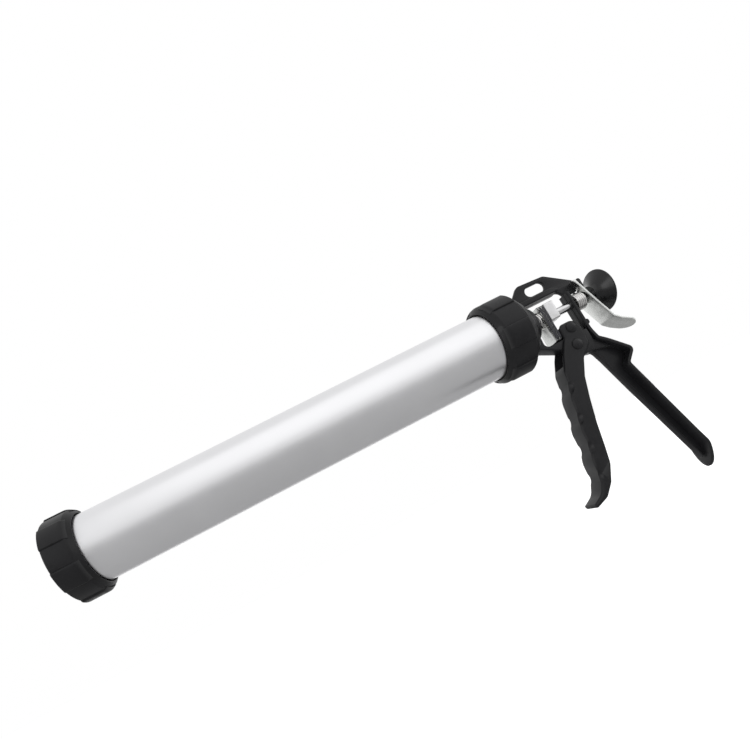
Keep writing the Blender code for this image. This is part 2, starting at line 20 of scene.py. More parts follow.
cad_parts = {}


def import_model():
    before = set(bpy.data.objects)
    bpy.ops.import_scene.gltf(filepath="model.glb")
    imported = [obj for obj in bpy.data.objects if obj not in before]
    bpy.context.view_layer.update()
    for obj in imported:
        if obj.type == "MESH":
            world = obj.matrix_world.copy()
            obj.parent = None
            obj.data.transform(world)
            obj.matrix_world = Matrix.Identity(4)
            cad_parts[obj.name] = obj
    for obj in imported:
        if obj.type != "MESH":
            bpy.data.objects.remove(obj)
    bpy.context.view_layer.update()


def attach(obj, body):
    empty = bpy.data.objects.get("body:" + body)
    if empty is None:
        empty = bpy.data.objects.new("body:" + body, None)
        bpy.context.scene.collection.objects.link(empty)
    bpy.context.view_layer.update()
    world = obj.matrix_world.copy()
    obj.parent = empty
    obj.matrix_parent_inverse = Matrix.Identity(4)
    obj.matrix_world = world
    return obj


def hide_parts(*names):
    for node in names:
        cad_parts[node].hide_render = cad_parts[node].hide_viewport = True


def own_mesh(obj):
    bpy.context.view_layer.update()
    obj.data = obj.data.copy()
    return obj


LOG = logging.getLogger("caulking_gun")

Point = tuple[float, float]
Corner = tuple[float, float, float]

BARREL_AXIS = Vector((-0.432, 0.0, 0.105))
TO_ROW_FRAME = Matrix.Translation(BARREL_AXIS)
SHARP_ANGLE = math.radians(32.0)


# ------------------------------------------------------------------ finishes

# Noise stays mostly inside this band, which is spread over the whole range.
CLOUD_BAND = (0.3, 0.7)
# Only the peaks of a stretched noise become scratches.
SCRATCH_BAND = (0.66, 0.74)
SCRATCH_STRETCH = (0.05, 1.0, 1.0)
SCRATCH_SCALE = 900.0
# Pointiness at which an edge starts to be painted lighter, and at which it is lightest: a
# painted edge highlight.
EDGE_HIGHLIGHT_BAND = (0.53, 0.62)
LEAST_ROUGHNESS = 0.02
COAT_ROUGHNESS = 0.25
RELIEF_STRENGTH = 0.6


class Grain(Enum):
    """How a finish's fine relief runs."""

    EVEN = (1.0, 1.0, 1.0)
    ALONG_BARREL = (0.02, 1.0, 1.0)


@dataclass(frozen=True)
class Finish:
    """One surface finish, with relief, cloudiness and light scratches of its own.

    Attributes:
        name: The material's name.
        slot: The material slot it stands for; it is not used.
        colour: Base colour.
        roughness: Middle roughness.
        metallic: 1 for bare metal, 0 for paint, plastic and rubber.
        specular: Specular level of the shader.
        grain: How the fine relief runs.
        grain_scale: Fine relief features per metre.
        grain_depth: Height of the fine relief, in metres.
        cloud_scale: Cloudy patches per metre.
        cloud: How far roughness swings between patches.
        tint: How far the colour swings between patches, as a share of it.
        scratch: Strength of the light scratches.
        edge: How much lighter sharp edges are painted, as a painted highlight.
        coat: Weight of a clear coat.
    """

    name: str
    slot: str
    colour: tuple[float, float, float]
    roughness: float
    metallic: float = 0.0
    specular: float = 0.5
    grain: Grain = Grain.EVEN
    grain_scale: float = 2500.0
    grain_depth: float = 0.00002
    cloud_scale: float = 60.0
    cloud: float = 0.05
    tint: float = 0.08
    scratch: float = 0.0
    edge: float = 0.0
    coat: float = 0.0

    def build(self) -> bpy.types.Material:
        """Make the material, or return it if it is already made.

        Returns:
            The node material.
        """
        made = bpy.data.materials.get(self.name)
        if made:
            return made
        made = bpy.data.materials.new(self.name)
        made.use_nodes = True
        made.diffuse_color = (*self.colour, 1.0)
        tree = made.node_tree
        shader = tree.nodes["Principled BSDF"]
        shader.inputs["Metallic"].default_value = self.metallic
        shader.inputs["Specular IOR Level"].default_value = self.specular
        shader.inputs["Coat Weight"].default_value = self.coat
        shader.inputs["Coat Roughness"].default_value = COAT_ROUGHNESS
        place = tree.nodes.new("ShaderNodeTexCoord").outputs["Object"]
        clouds = self._noise(tree, place, (1.0, 1.0, 1.0), self.cloud_scale, 4.0)
        self._dress_roughness(tree, shader, clouds)
        self._dress_colour(tree, shader, place, clouds)
        self._dress_relief(tree, shader, place)
        return made

    def _noise(self, tree: bpy.types.NodeTree, place: bpy.types.NodeSocket,
               stretch: Sequence[float], scale: float,
               detail: float) -> bpy.types.NodeSocket:
        """Add a stretched noise.

        Args:
            tree: The material's nodes.
            place: Coordinates it reads.
            stretch: Scale of each coordinate.
            scale: Features per metre.
            detail: Octaves.

        Returns:
            The noise's value.
        """
        mapping = tree.nodes.new("ShaderNodeMapping")
        mapping.inputs["Scale"].default_value = stretch
        noise = tree.nodes.new("ShaderNodeTexNoise")
        noise.inputs["Scale"].default_value = scale
        noise.inputs["Detail"].default_value = detail
        tree.links.new(place, mapping.inputs["Vector"])
        tree.links.new(mapping.outputs["Vector"], noise.inputs["Vector"])
        return noise.outputs["Fac"]

    def _range(self, tree: bpy.types.NodeTree, value: bpy.types.NodeSocket, start: float,
               end: float, low: float, high: float) -> bpy.types.NodeSocket:
        """Map a value from one clamped range to another.

        Args:
            tree: The material's nodes.
            value: What is mapped.
            start: Value that becomes low.
            end: Value that becomes high.
            low: Lowest result.
            high: Highest result.

        Returns:
            The mapped value.
        """
        node = tree.nodes.new("ShaderNodeMapRange")
        for socket, number in (("From Min", start), ("From Max", end), ("To Min", low),
                               ("To Max", high)):
            node.inputs[socket].default_value = number
        tree.links.new(value, node.inputs["Value"])
        return node.outputs["Result"]

    def _dress_roughness(self, tree: bpy.types.NodeTree, shader: bpy.types.Node,
                         clouds: bpy.types.NodeSocket) -> None:
        """Let the roughness swing with the cloudy patches.

        Args:
            tree: The material's nodes.
            shader: The Principled shader.
            clouds: The patches' value.
        """
        rough = self._range(tree, clouds, *CLOUD_BAND,
                            max(LEAST_ROUGHNESS, self.roughness - self.cloud),
                            self.roughness + self.cloud)
        tree.links.new(rough, shader.inputs["Roughness"])

    def _dress_colour(self, tree: bpy.types.NodeTree, shader: bpy.types.Node,
                      place: bpy.types.NodeSocket, clouds: bpy.types.NodeSocket) -> None:
        """Mix the base colour from its patches, scratches and painted edge highlights.

        Args:
            tree: The material's nodes.
            shader: The Principled shader.
            place: Object coordinates.
            clouds: The patches' value.
        """
        share = self._range(tree, clouds, *CLOUD_BAND, 0.0, 1.0)
        darker = [c * (1.0 - self.tint) for c in self.colour]
        lighter = [min(1.0, c * (1.0 + self.tint)) for c in self.colour]
        colour = self._mix(tree, share, darker, lighter)
        if self.scratch > 0.0:
            lines = self._noise(tree, place, SCRATCH_STRETCH, SCRATCH_SCALE, 2.0)
            share = self._range(tree, lines, *SCRATCH_BAND, 0.0, self.scratch)
            colour = self._mix(tree, share, colour, [min(1.0, c + 0.25) for c in self.colour])
        # Sharp edges are painted lighter by pointiness: a painted highlight.
        if self.edge > 0.0:
            point = tree.nodes.new("ShaderNodeNewGeometry").outputs["Pointiness"]
            share = self._range(tree, point, *EDGE_HIGHLIGHT_BAND, 0.0, self.edge)
            colour = self._mix(tree, share, colour, [c + 0.12 for c in self.colour])
        tree.links.new(colour, shader.inputs["Base Color"])

    def _mix(self, tree: bpy.types.NodeTree, share: bpy.types.NodeSocket,
             first: bpy.types.NodeSocket | list[float], second: list[float]
             ) -> bpy.types.NodeSocket:
        """Mix two colours.

        Args:
            tree: The material's nodes.
            share: How much of the second is used.
            first: A colour, or a socket that gives one.
            second: The other colour.

        Returns:
            The mixed colour.
        """
        node = tree.nodes.new("ShaderNodeMix")
        node.data_type = "RGBA"
        tree.links.new(share, node.inputs["Factor"])
        sockets = [item for item in node.inputs if item.type == "RGBA"]
        if isinstance(first, list):
            sockets[0].default_value = (*first, 1.0)
        else:
            tree.links.new(first, sockets[0])
        sockets[1].default_value = (*second, 1.0)
        return next(item for item in node.outputs if item.type == "RGBA")

    def _dress_relief(self, tree: bpy.types.NodeTree, shader: bpy.types.Node,
                      place: bpy.types.NodeSocket) -> None:
        """Give the surface its fine relief.

        Args:
            tree: The material's nodes.
            shader: The Principled shader.
            place: Object coordinates.
        """
        fine = self._noise(tree, place, self.grain.value, self.grain_scale, 3.0)
        bump = tree.nodes.new("ShaderNodeBump")
        bump.inputs["Strength"].default_value = RELIEF_STRENGTH
        bump.inputs["Distance"].default_value = self.grain_depth
        tree.links.new(fine, bump.inputs["Height"])
        tree.links.new(bump.outputs["Normal"], shader.inputs["Normal"])


ALUMINIUM = Finish("satin anodised aluminium", "satin_aluminium", (0.80, 0.80, 0.815), 0.34, 1.0,
                   grain=Grain.ALONG_BARREL, grain_scale=5200.0, grain_depth=0.000012,
                   cloud_scale=25.0, cloud=0.03, tint=0.02, scratch=0.05)
PLASTIC = Finish("moulded black plastic", "black_plastic", (0.007, 0.007, 0.008), 0.42,
                 specular=0.22, grain_scale=3800.0, grain_depth=0.00003, cloud=0.05, tint=0.2,
                 edge=0.10)
GLOSS = Finish("polished black plastic", "black_plastic", (0.004, 0.004, 0.0045), 0.24,
               specular=0.35, grain_scale=1200.0, grain_depth=0.00002, cloud=0.04, tint=0.2,
               coat=0.1)
PAINT = Finish("black powder coat", "black_paint", (0.008, 0.008, 0.009), 0.36, specular=0.24,
               grain_scale=1700.0, grain_depth=0.00005, cloud=0.05, tint=0.15, edge=0.12)
ZINC = Finish("bright zinc plate", "zinc_plate", (0.66, 0.67, 0.655), 0.26, 1.0,
              grain_scale=1400.0, grain_depth=0.000018, cloud_scale=260.0, cloud=0.07, tint=0.08,
              scratch=0.25)
# A near-black copy of the zinc for the grip plates' sides: the rough sheared surface is their
# own, the near-black colour is painted shade and painted dark reflection.
SHADED_PLATE_SIDE = Finish("plate side painted shade", "zinc_plate", (0.055, 0.055, 0.06), 0.38, 1.0,
                      grain_scale=1900.0, grain_depth=0.00004, cloud_scale=400.0, tint=0.3)
BLOCK_STEEL = Finish("sintered steel", "bright_steel", (0.66, 0.66, 0.665), 0.36, 1.0,
                     grain_scale=3000.0, grain_depth=0.00003, cloud_scale=200.0, cloud=0.08,
                     tint=0.08)
ROD_STEEL = Finish("drawn bright steel", "bright_steel", (0.72, 0.72, 0.725), 0.20, 1.0,
                   grain=Grain.ALONG_BARREL, grain_scale=6000.0, grain_depth=0.00001,
                   cloud_scale=90.0, cloud=0.05, tint=0.05, scratch=0.2)
SPRING_STEEL = Finish("spring wire", "bright_steel", (0.70, 0.69, 0.68), 0.22, 1.0,
                      grain_scale=2600.0, grain_depth=0.00001, cloud_scale=300.0, tint=0.1)
NYLON = Finish("white nylon", "white_nylon", (0.78, 0.77, 0.73), 0.45, grain_scale=1800.0,
               grain_depth=0.00003, tint=0.04)
RUBBER = Finish("black rubber", "black_rubber", (0.014, 0.014, 0.014), 0.62, specular=0.3,
                grain_scale=2200.0, grain_depth=0.00005, tint=0.2)


# -------------------------------------------------------------------- shapes

def rounded(corners: Sequence[Corner], step: float = 7.5) -> list[Vector]:
    """Turn the corners of a closed outline into arcs.

    Args:
        corners: Corners as (across, up, radius).
        step: Degrees of each arc segment.

    Returns:
        The outline's points.
    """
    points: list[Vector] = []
    count = len(corners)
    for index, (across, up, radius) in enumerate(corners):
        here = Vector((across, up))
        if radius <= 0.0:
            points.append(here)
            continue
        before = (Vector(corners[index - 1][:2]) - here).normalized()
        after = (Vector(corners[(index + 1) % count][:2]) - here).normalized()
        half = before.angle(after) / 2.0
        centre = here + (before + after).normalized() * (radius / math.sin(half))
        start = here + before * (radius / math.tan(half)) - centre
        turn = math.pi - 2.0 * half
        if before.x * after.y - before.y * after.x > 0.0:
            turn = -turn
        steps = max(1, math.ceil(abs(math.degrees(turn)) / step))
        for number in range(steps + 1):
            angle = turn * number / steps
            cosine, sine = math.cos(angle), math.sin(angle)
            points.append(centre + Vector((start.x * cosine - start.y * sine,
                                           start.x * sine + start.y * cosine)))
    return points


def circle(radius: float, count: int = 64) -> list[Vector]:
    """Points of a circle about the barrel axis."""
    return [Vector((radius * math.cos(2.0 * math.pi * k / count),
                    radius * math.sin(2.0 * math.pi * k / count))) for k in range(count)]


def wound(loop: Sequence[Vector], clockwise: bool) -> list[Vector]:
    """Give a loop one winding.

    Args:
        loop: The points.
        clockwise: The winding that is wanted.

    Returns:
        The points, turned round if they ran the other way.
    """
    area = sum(a.x * b.y - b.x * a.y for a, b in zip(loop, [*loop[1:], loop[0]]))
    return list(loop) if (area < 0.0) == clockwise else list(loop)[::-1]


def tidy(work: bmesh.types.BMesh, name: str) -> bpy.types.Mesh:
    """Merge doubles, turn faces outwards and shade a mesh, which ends the bmesh.

    Args:
        work: The shape in gun coordinates.
        name: The mesh's name.

    Returns:
        The mesh in the row frame.
    """
    bmesh.ops.remove_doubles(work, verts=work.verts, dist=0.000002)
    bmesh.ops.recalc_face_normals(work, faces=work.faces)
    mesh = bpy.data.meshes.new(name)
    work.to_mesh(mesh)
    work.free()
    mesh.transform(TO_ROW_FRAME)
    mesh.shade_smooth()
    mesh.set_sharp_from_angle(angle=SHARP_ANGLE)
    return mesh


def flat_mesh(name: str, loops: Sequence[Sequence[Vector]], half: float, bevel: float,
              turn: Matrix, steps: int = 3) -> bpy.types.Mesh:
    """A plate with rounded edges, from an outline and its holes.

    Args:
        name: The mesh's name.
        loops: The outline, then any holes.
        half: Half the thickness.
        bevel: Radius of the edges.
        turn: What stands the plate up in gun coordinates.
        steps: Segments of the edges' arcs, less one.

    Returns:
        The mesh in the row frame.
    """
    curve = bpy.data.curves.new(name, "CURVE")
    curve.dimensions = "2D"
    curve.fill_mode = "BOTH"
    curve.extrude = half - bevel
    curve.bevel_depth = bevel
    curve.bevel_resolution = steps
    curve.offset = -bevel
    for number, loop in enumerate(loops):
        ordered = wound(loop, clockwise=number == 0)
        spline = curve.splines.new("POLY")
        spline.points.add(len(ordered) - 1)
        for point, corner in zip(spline.points, ordered):
            point.co = (corner[0], corner[1], 0.0, 1.0)
        spline.use_cyclic_u = True
    holder = bpy.data.objects.new(name, curve)
    bpy.context.scene.collection.objects.link(holder)
    graph = bpy.context.evaluated_depsgraph_get()
    rough = bpy.data.meshes.new_from_object(holder.evaluated_get(graph))
    bpy.data.objects.remove(holder, do_unlink=True)
    bpy.data.curves.remove(curve)
    work = bmesh.new()
    work.from_mesh(rough)
    bpy.data.meshes.remove(rough)
    bmesh.ops.transform(work, matrix=turn, verts=work.verts)
    return tidy(work, name)


def side_mesh(name: str, loops: Sequence[Sequence[Vector]], half: float, bevel: float,
              steps: int = 3) -> bpy.types.Mesh:
    """A plate whose outline is seen from the side, (x, z), as thick as 2 x half."""
    return flat_mesh(name, loops, half, bevel, Matrix.Rotation(math.pi / 2.0, 4, "X"), steps)


def cross_mesh(name: str, loops: Sequence[Sequence[Point]], front: float, rear: float,
               bevel: float, steps: int = 3) -> bpy.types.Mesh:
    """A plate square to the barrel, whose outline is (z, y).

    Args:
        name: The mesh's name.
        loops: The outline, then any holes.
        front: Where its front face lies.
        rear: Where its rear face lies.
        bevel: Radius of the edges.
        steps: Segments of the edges' arcs, less one.

    Returns:
        The mesh in the row frame.
    """
    turned = [[Vector((-z, y)) for z, y in loop] for loop in loops]
    turn = (Matrix.Translation(((front + rear) / 2.0, 0.0, 0.0))
            @ Matrix.Rotation(math.pi / 2.0, 4, "Y"))
    return flat_mesh(name, turned, (rear - front) / 2.0, bevel, turn, steps)


def revolved(name: str, profile: Sequence[Vector], segments: int = 128,
             stand: Matrix | None = None) -> bpy.types.Mesh:
    """A turned shape from a closed profile of (along, radius).

    Args:
        name: The mesh's name.
        profile: The profile's points; a radius of zero is a pole.
        segments: Steps round the axis.
        stand: What places the axis, which is the barrel's if this is left out.

    Returns:
        The mesh in the row frame.
    """
    work = bmesh.new()
    rings = []
    for along, radius in profile:
        if radius < 0.00001:
            rings.append([work.verts.new((along, 0.0, 0.0))])
            continue
        rings.append([work.verts.new((along, -radius * math.sin(2.0 * math.pi * k / segments),
                                      radius * math.cos(2.0 * math.pi * k / segments)))
                      for k in range(segments)])
    for ring, other in zip(rings, [*rings[1:], rings[0]]):
        for k in range(segments):
            following = (k + 1) % segments
            if len(ring) == 1 and len(other) == 1:
                break
            corners = [ring[k % len(ring)], ring[following % len(ring)],
                       other[following % len(other)], other[k % len(other)]]
            work.faces.new(list(dict.fromkeys(corners)))
    if stand is not None:
        bmesh.ops.transform(work, matrix=stand, verts=work.verts)
    return tidy(work, name)


def ribbon(name: str, path: Sequence[Vector], wall: float,
           half_width: Callable[[Vector], float], corner: float) -> bpy.types.Mesh:
    """A band that follows a path seen from the side, with rounded long edges.

    Args:
        name: The mesh's name.
        path: Middle of the band, (x, z).
        wall: Thickness of the band.
        half_width: Half the width at a point of the path.
        corner: Radius of the long edges.

    Returns:
        The mesh in the row frame.
    """
    work = bmesh.new()
    sections = []
    for index, point in enumerate(path):
        along = (path[min(index + 1, len(path) - 1)] - path[max(index - 1, 0)]).normalized()
        side = Vector((-along.y, along.x))
        reach, half = half_width(point), wall / 2.0
        outline = rounded([(-half, -reach, corner), (half, -reach, corner),
                           (half, reach, corner), (-half, reach, corner)], 22.5)
        sections.append([work.verts.new((point.x + side.x * u, v, point.y + side.y * u))
                         for u, v in outline])
    for first, second in zip(sections, sections[1:]):
        for k, vertex in enumerate(first):
            following = (k + 1) % len(first)
            work.faces.new((vertex, first[following], second[following], second[k]))
    work.faces.new(sections[0])
    work.faces.new(sections[-1][::-1])
    return tidy(work, name)


def closer(path: Sequence[Vector], step: float) -> list[Vector]:
    """Put points along a path so that none are further apart than a step.

    Args:
        path: The path's points.
        step: Largest gap.

    Returns:
        The old points and the new ones.
    """
    points = [path[0]]
    for first, second in zip(path, path[1:]):
        pieces = max(1, math.ceil((second - first).length / step))
        points += [first.lerp(second, k / pieces) for k in range(1, pieces + 1)]
    return points


def joined(name: str, meshes: Sequence[bpy.types.Mesh]) -> bpy.types.Mesh:
    """Put several meshes into one.

    Args:
        name: The new mesh's name.
        meshes: The meshes, which are removed.

    Returns:
        The joined mesh.
    """
    work = bmesh.new()
    for mesh in meshes:
        work.from_mesh(mesh)
        bpy.data.meshes.remove(mesh)
    whole = bpy.data.meshes.new(name)
    work.to_mesh(whole)
    work.free()
    whole.shade_smooth()
    whole.set_sharp_from_angle(angle=SHARP_ANGLE)
    return whole


def cut(mesh: bpy.types.Mesh, cutters: Sequence[bpy.types.Mesh]) -> bpy.types.Mesh:
    """Take cutters out of a mesh.

    Args:
        mesh: What is cut; it is removed.
        cutters: What is taken away; they are removed.

    Returns:
        The cut mesh, shaded.
    """
    scene = bpy.context.scene.collection
    item = bpy.data.objects.new(mesh.name, mesh)
    scene.objects.link(item)
    tools = []
    for cutter in cutters:
        tool = bpy.data.objects.new(cutter.name, cutter)
        scene.objects.link(tool)
        step = item.modifiers.new(cutter.name, "BOOLEAN")
        step.operation = "DIFFERENCE"
        step.solver = "EXACT"
        step.object = tool
        tools.append(tool)
    graph = bpy.context.evaluated_depsgraph_get()
    result = bpy.data.meshes.new_from_object(item.evaluated_get(graph))
    result.name = mesh.name
    for done in (item, *tools):
        data = done.data
        bpy.data.objects.remove(done, do_unlink=True)
        bpy.data.meshes.remove(data)
    result.materials.clear()
    result.shade_smooth()
    result.set_sharp_from_angle(angle=SHARP_ANGLE)
    return result


def piece(name: str, mesh: bpy.types.Mesh, finish: Finish, body: str,
          *nodes: str) -> bpy.types.Object:
    """Make a finished piece that rides on a body in the place of CAD nodes.

    Args:
        name: The piece's name.
        mesh: Its mesh in the row frame.
        finish: Its finish.
        body: The body it moves with.
        nodes: The CAD nodes it stands for.

    Returns:
        The piece.
    """
    mesh.materials.clear()
    mesh.materials.append(finish.build())
    item = bpy.data.objects.new(name, mesh)
    bpy.context.scene.collection.objects.link(item)
    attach(item, body)
    if nodes:
        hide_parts(*nodes)
    LOG.info("%s: %d faces on %s", name, len(mesh.polygons), body)
    return item


# ------------------------------------------------------------ repeated shapes

class NodeTree:
    """A Geometry Nodes tree with named inputs, run on a mesh and then baked."""

    def __init__(self, name: str, inputs: dict[str, str]) -> None:
        """Start a tree.

        Args:
            name: The tree's name.
            inputs: Input names, and the socket type of each.
        """
        self.tree = bpy.data.node_groups.new(name, "GeometryNodeTree")
        face = self.tree.interface
        face.new_socket("Geometry", in_out="INPUT", socket_type="NodeSocketGeometry")
        self.identifiers = {title: face.new_socket(title, in_out="INPUT",
                                                   socket_type=kind).identifier
                            for title, kind in inputs.items()}
        face.new_socket("Geometry", in_out="OUTPUT", socket_type="NodeSocketGeometry")
        self.start = self.tree.nodes.new("NodeGroupInput")
        self.end = self.tree.nodes.new("NodeGroupOutput")

    def add(self, kind: str, **settings: object) -> bpy.types.Node:
        """Add a node.

        Args:
            kind: The node's type.
            settings: Properties that are set on it.

        Returns:
            The node.
        """
        node = self.tree.nodes.new(kind)
        for key, value in settings.items():
            setattr(node, key, value)
        return node

    def link(self, source: bpy.types.NodeSocket, target: bpy.types.NodeSocket) -> None:
        """Join two sockets."""
        self.tree.links.new(source, target)

    def maths(self, operation: str, first: bpy.types.NodeSocket | float,
              second: bpy.types.NodeSocket | float) -> bpy.types.NodeSocket:
        """Add a sum of two values.

        Args:
            operation: The operation's name.
            first: A socket or a number.
            second: A socket or a number.

        Returns:
            The result.
        """
        node = self.add("ShaderNodeMath", operation=operation)
        for socket, value in zip(node.inputs, (first, second)):
            if isinstance(value, (int, float)):
                socket.default_value = value
            else:
                self.link(value, socket)
        return node.outputs[0]

    def close(self, shape: bpy.types.NodeSocket) -> None:
        """End the tree with real geometry and its material.

        Args:
            shape: The geometry that is given out.
        """
        real = self.add("GeometryNodeRealizeInstances")
        dress = self.add("GeometryNodeSetMaterial")
        self.link(shape, real.inputs["Geometry"])
        self.link(real.outputs["Geometry"], dress.inputs["Geometry"])
        self.link(self.start.outputs["Material"], dress.inputs["Material"])
        self.link(dress.outputs["Geometry"], self.end.inputs["Geometry"])

    def run(self, mesh: bpy.types.Mesh, values: dict[str, object]) -> bpy.types.Mesh:
        """Run the tree on a mesh and bake the result.

        Args:
            mesh: What the tree starts from; it is removed.
            values: The value of each named input.

        Returns:
            The baked mesh.
        """
        item = bpy.data.objects.new(mesh.name, mesh)
        bpy.context.scene.collection.objects.link(item)
        modifier = item.modifiers.new(self.tree.name, "NODES")
        modifier.node_group = self.tree
        for title, value in values.items():
            modifier[self.identifiers[title]] = value
        graph = bpy.context.evaluated_depsgraph_get()
        result = bpy.data.meshes.new_from_object(item.evaluated_get(graph))
        result.name = mesh.name
        bpy.data.objects.remove(item, do_unlink=True)
        bpy.data.meshes.remove(mesh)
        result.shade_smooth()
        result.set_sharp_from_angle(angle=SHARP_ANGLE)
        return result


def round_array() -> NodeTree:
    """A tree that repeats a shape round the barrel axis.

    Returns:
        The tree, with inputs Count, First Angle, Axis and Material.
    """
    kit = NodeTree("round array", {"Count": "NodeSocketInt", "First Angle": "NodeSocketFloat",
                                   "Axis": "NodeSocketVector",
                                   "Material": "NodeSocketMaterial"})
    line = kit.add("GeometryNodeMeshLine")
    line.inputs["Offset"].default_value = (0.0, 0.0, 0.0)
    kit.link(kit.start.outputs["Count"], line.inputs["Count"])
    index = kit.add("GeometryNodeInputIndex").outputs[0]
    step = kit.maths("DIVIDE", 2.0 * math.pi, kit.start.outputs["Count"])
    angle = kit.maths("ADD", kit.maths("MULTIPLY", index, step),
                      kit.start.outputs["First Angle"])
    turn = kit.add("ShaderNodeCombineXYZ")
    kit.link(angle, turn.inputs["X"])
    copies = kit.add("GeometryNodeInstanceOnPoints")
    kit.link(line.outputs["Mesh"], copies.inputs["Points"])
    kit.link(kit.start.outputs["Geometry"], copies.inputs["Instance"])
    kit.link(turn.outputs[0], copies.inputs["Rotation"])
    shift = kit.add("GeometryNodeTransform")
    kit.link(copies.outputs["Instances"], shift.inputs["Geometry"])
    kit.link(kit.start.outputs["Axis"], shift.inputs["Translation"])
    kit.close(shift.outputs["Geometry"])
    return kit


def row_array() -> NodeTree:
    """A tree that repeats a shape in a straight row.

    Returns:
        The tree, with inputs Count, Step and Material.
    """
    kit = NodeTree("row array", {"Count": "NodeSocketInt", "Step": "NodeSocketVector",
                                 "Material": "NodeSocketMaterial"})
    line = kit.add("GeometryNodeMeshLine")
    kit.link(kit.start.outputs["Count"], line.inputs["Count"])
    kit.link(kit.start.outputs["Step"], line.inputs["Offset"])
    copies = kit.add("GeometryNodeInstanceOnPoints")
    kit.link(line.outputs["Mesh"], copies.inputs["Points"])
    kit.link(kit.start.outputs["Geometry"], copies.inputs["Instance"])
    kit.close(copies.outputs["Instances"])
    return kit


def coil_tree() -> NodeTree:
    """A tree that winds a compression spring with closed ends along the barrel.

    Returns:
        The tree, with inputs Turns, Length, Coil Radius, Wire Radius, Origin and Material.
    """
    kit = NodeTree("coil spring", {"Turns": "NodeSocketFloat", "Length": "NodeSocketFloat",
                                   "Coil Radius": "NodeSocketFloat",
                                   "Wire Radius": "NodeSocketFloat",
                                   "Origin": "NodeSocketVector",
                                   "Material": "NodeSocketMaterial"})
    given = kit.start.outputs
    per_turn = 40.0
    count = kit.maths("ADD", kit.maths("MULTIPLY", given["Turns"], per_turn), 1.0)
    line = kit.add("GeometryNodeMeshLine")
    kit.link(count, line.inputs["Count"])
    turn = kit.maths("DIVIDE", kit.add("GeometryNodeInputIndex").outputs[0], per_turn)
    closed = kit.maths("MULTIPLY", given["Wire Radius"], 2.2)
    first = kit.maths("MINIMUM", turn, 1.0)
    last = kit.maths("MAXIMUM", kit.maths("SUBTRACT", kit.maths("ADD", turn, 1.0),
                                          given["Turns"]), 0.0)
    middle = kit.maths("SUBTRACT", kit.maths("SUBTRACT", turn, first), last)
    open_rise = kit.maths("SUBTRACT", kit.maths("SUBTRACT", given["Length"], kit.maths(
        "MULTIPLY", given["Wire Radius"], 2.0)), kit.maths("MULTIPLY", closed, 2.0))
    pitch = kit.maths("DIVIDE", open_rise, kit.maths("SUBTRACT", given["Turns"], 2.0))
    rise = kit.maths("ADD", kit.maths("MULTIPLY", kit.maths("ADD", first, last), closed),
                     kit.maths("MULTIPLY", middle, pitch))
    along = kit.maths("ADD", rise, given["Wire Radius"])
    angle = kit.maths("MULTIPLY", turn, 2.0 * math.pi)
    place = kit.add("ShaderNodeCombineXYZ")
    kit.link(along, place.inputs["X"])
    kit.link(kit.maths("MULTIPLY", kit.maths("COSINE", angle, 0.0), given["Coil Radius"]),
             place.inputs["Y"])
    kit.link(kit.maths("MULTIPLY", kit.maths("SINE", angle, 0.0), given["Coil Radius"]),
             place.inputs["Z"])
    put = kit.add("GeometryNodeSetPosition")
    kit.link(line.outputs["Mesh"], put.inputs["Geometry"])
    kit.link(place.outputs[0], put.inputs["Position"])
    kit.link(given["Origin"], put.inputs["Offset"])
    wire = kit.add("GeometryNodeMeshToCurve")
    kit.link(put.outputs["Geometry"], wire.inputs["Mesh"])
    section = kit.add("GeometryNodeCurvePrimitiveCircle")
    section.inputs["Resolution"].default_value = 16
    kit.link(given["Wire Radius"], section.inputs["Radius"])
    sweep = kit.add("GeometryNodeCurveToMesh")
    sweep.inputs["Fill Caps"].default_value = True
    kit.link(wire.outputs["Curve"], sweep.inputs["Curve"])
    kit.link(section.outputs["Curve"], sweep.inputs["Profile Curve"])
    kit.close(sweep.outputs["Mesh"])
    return kit


# -------------------------------------------------------------------- barrel

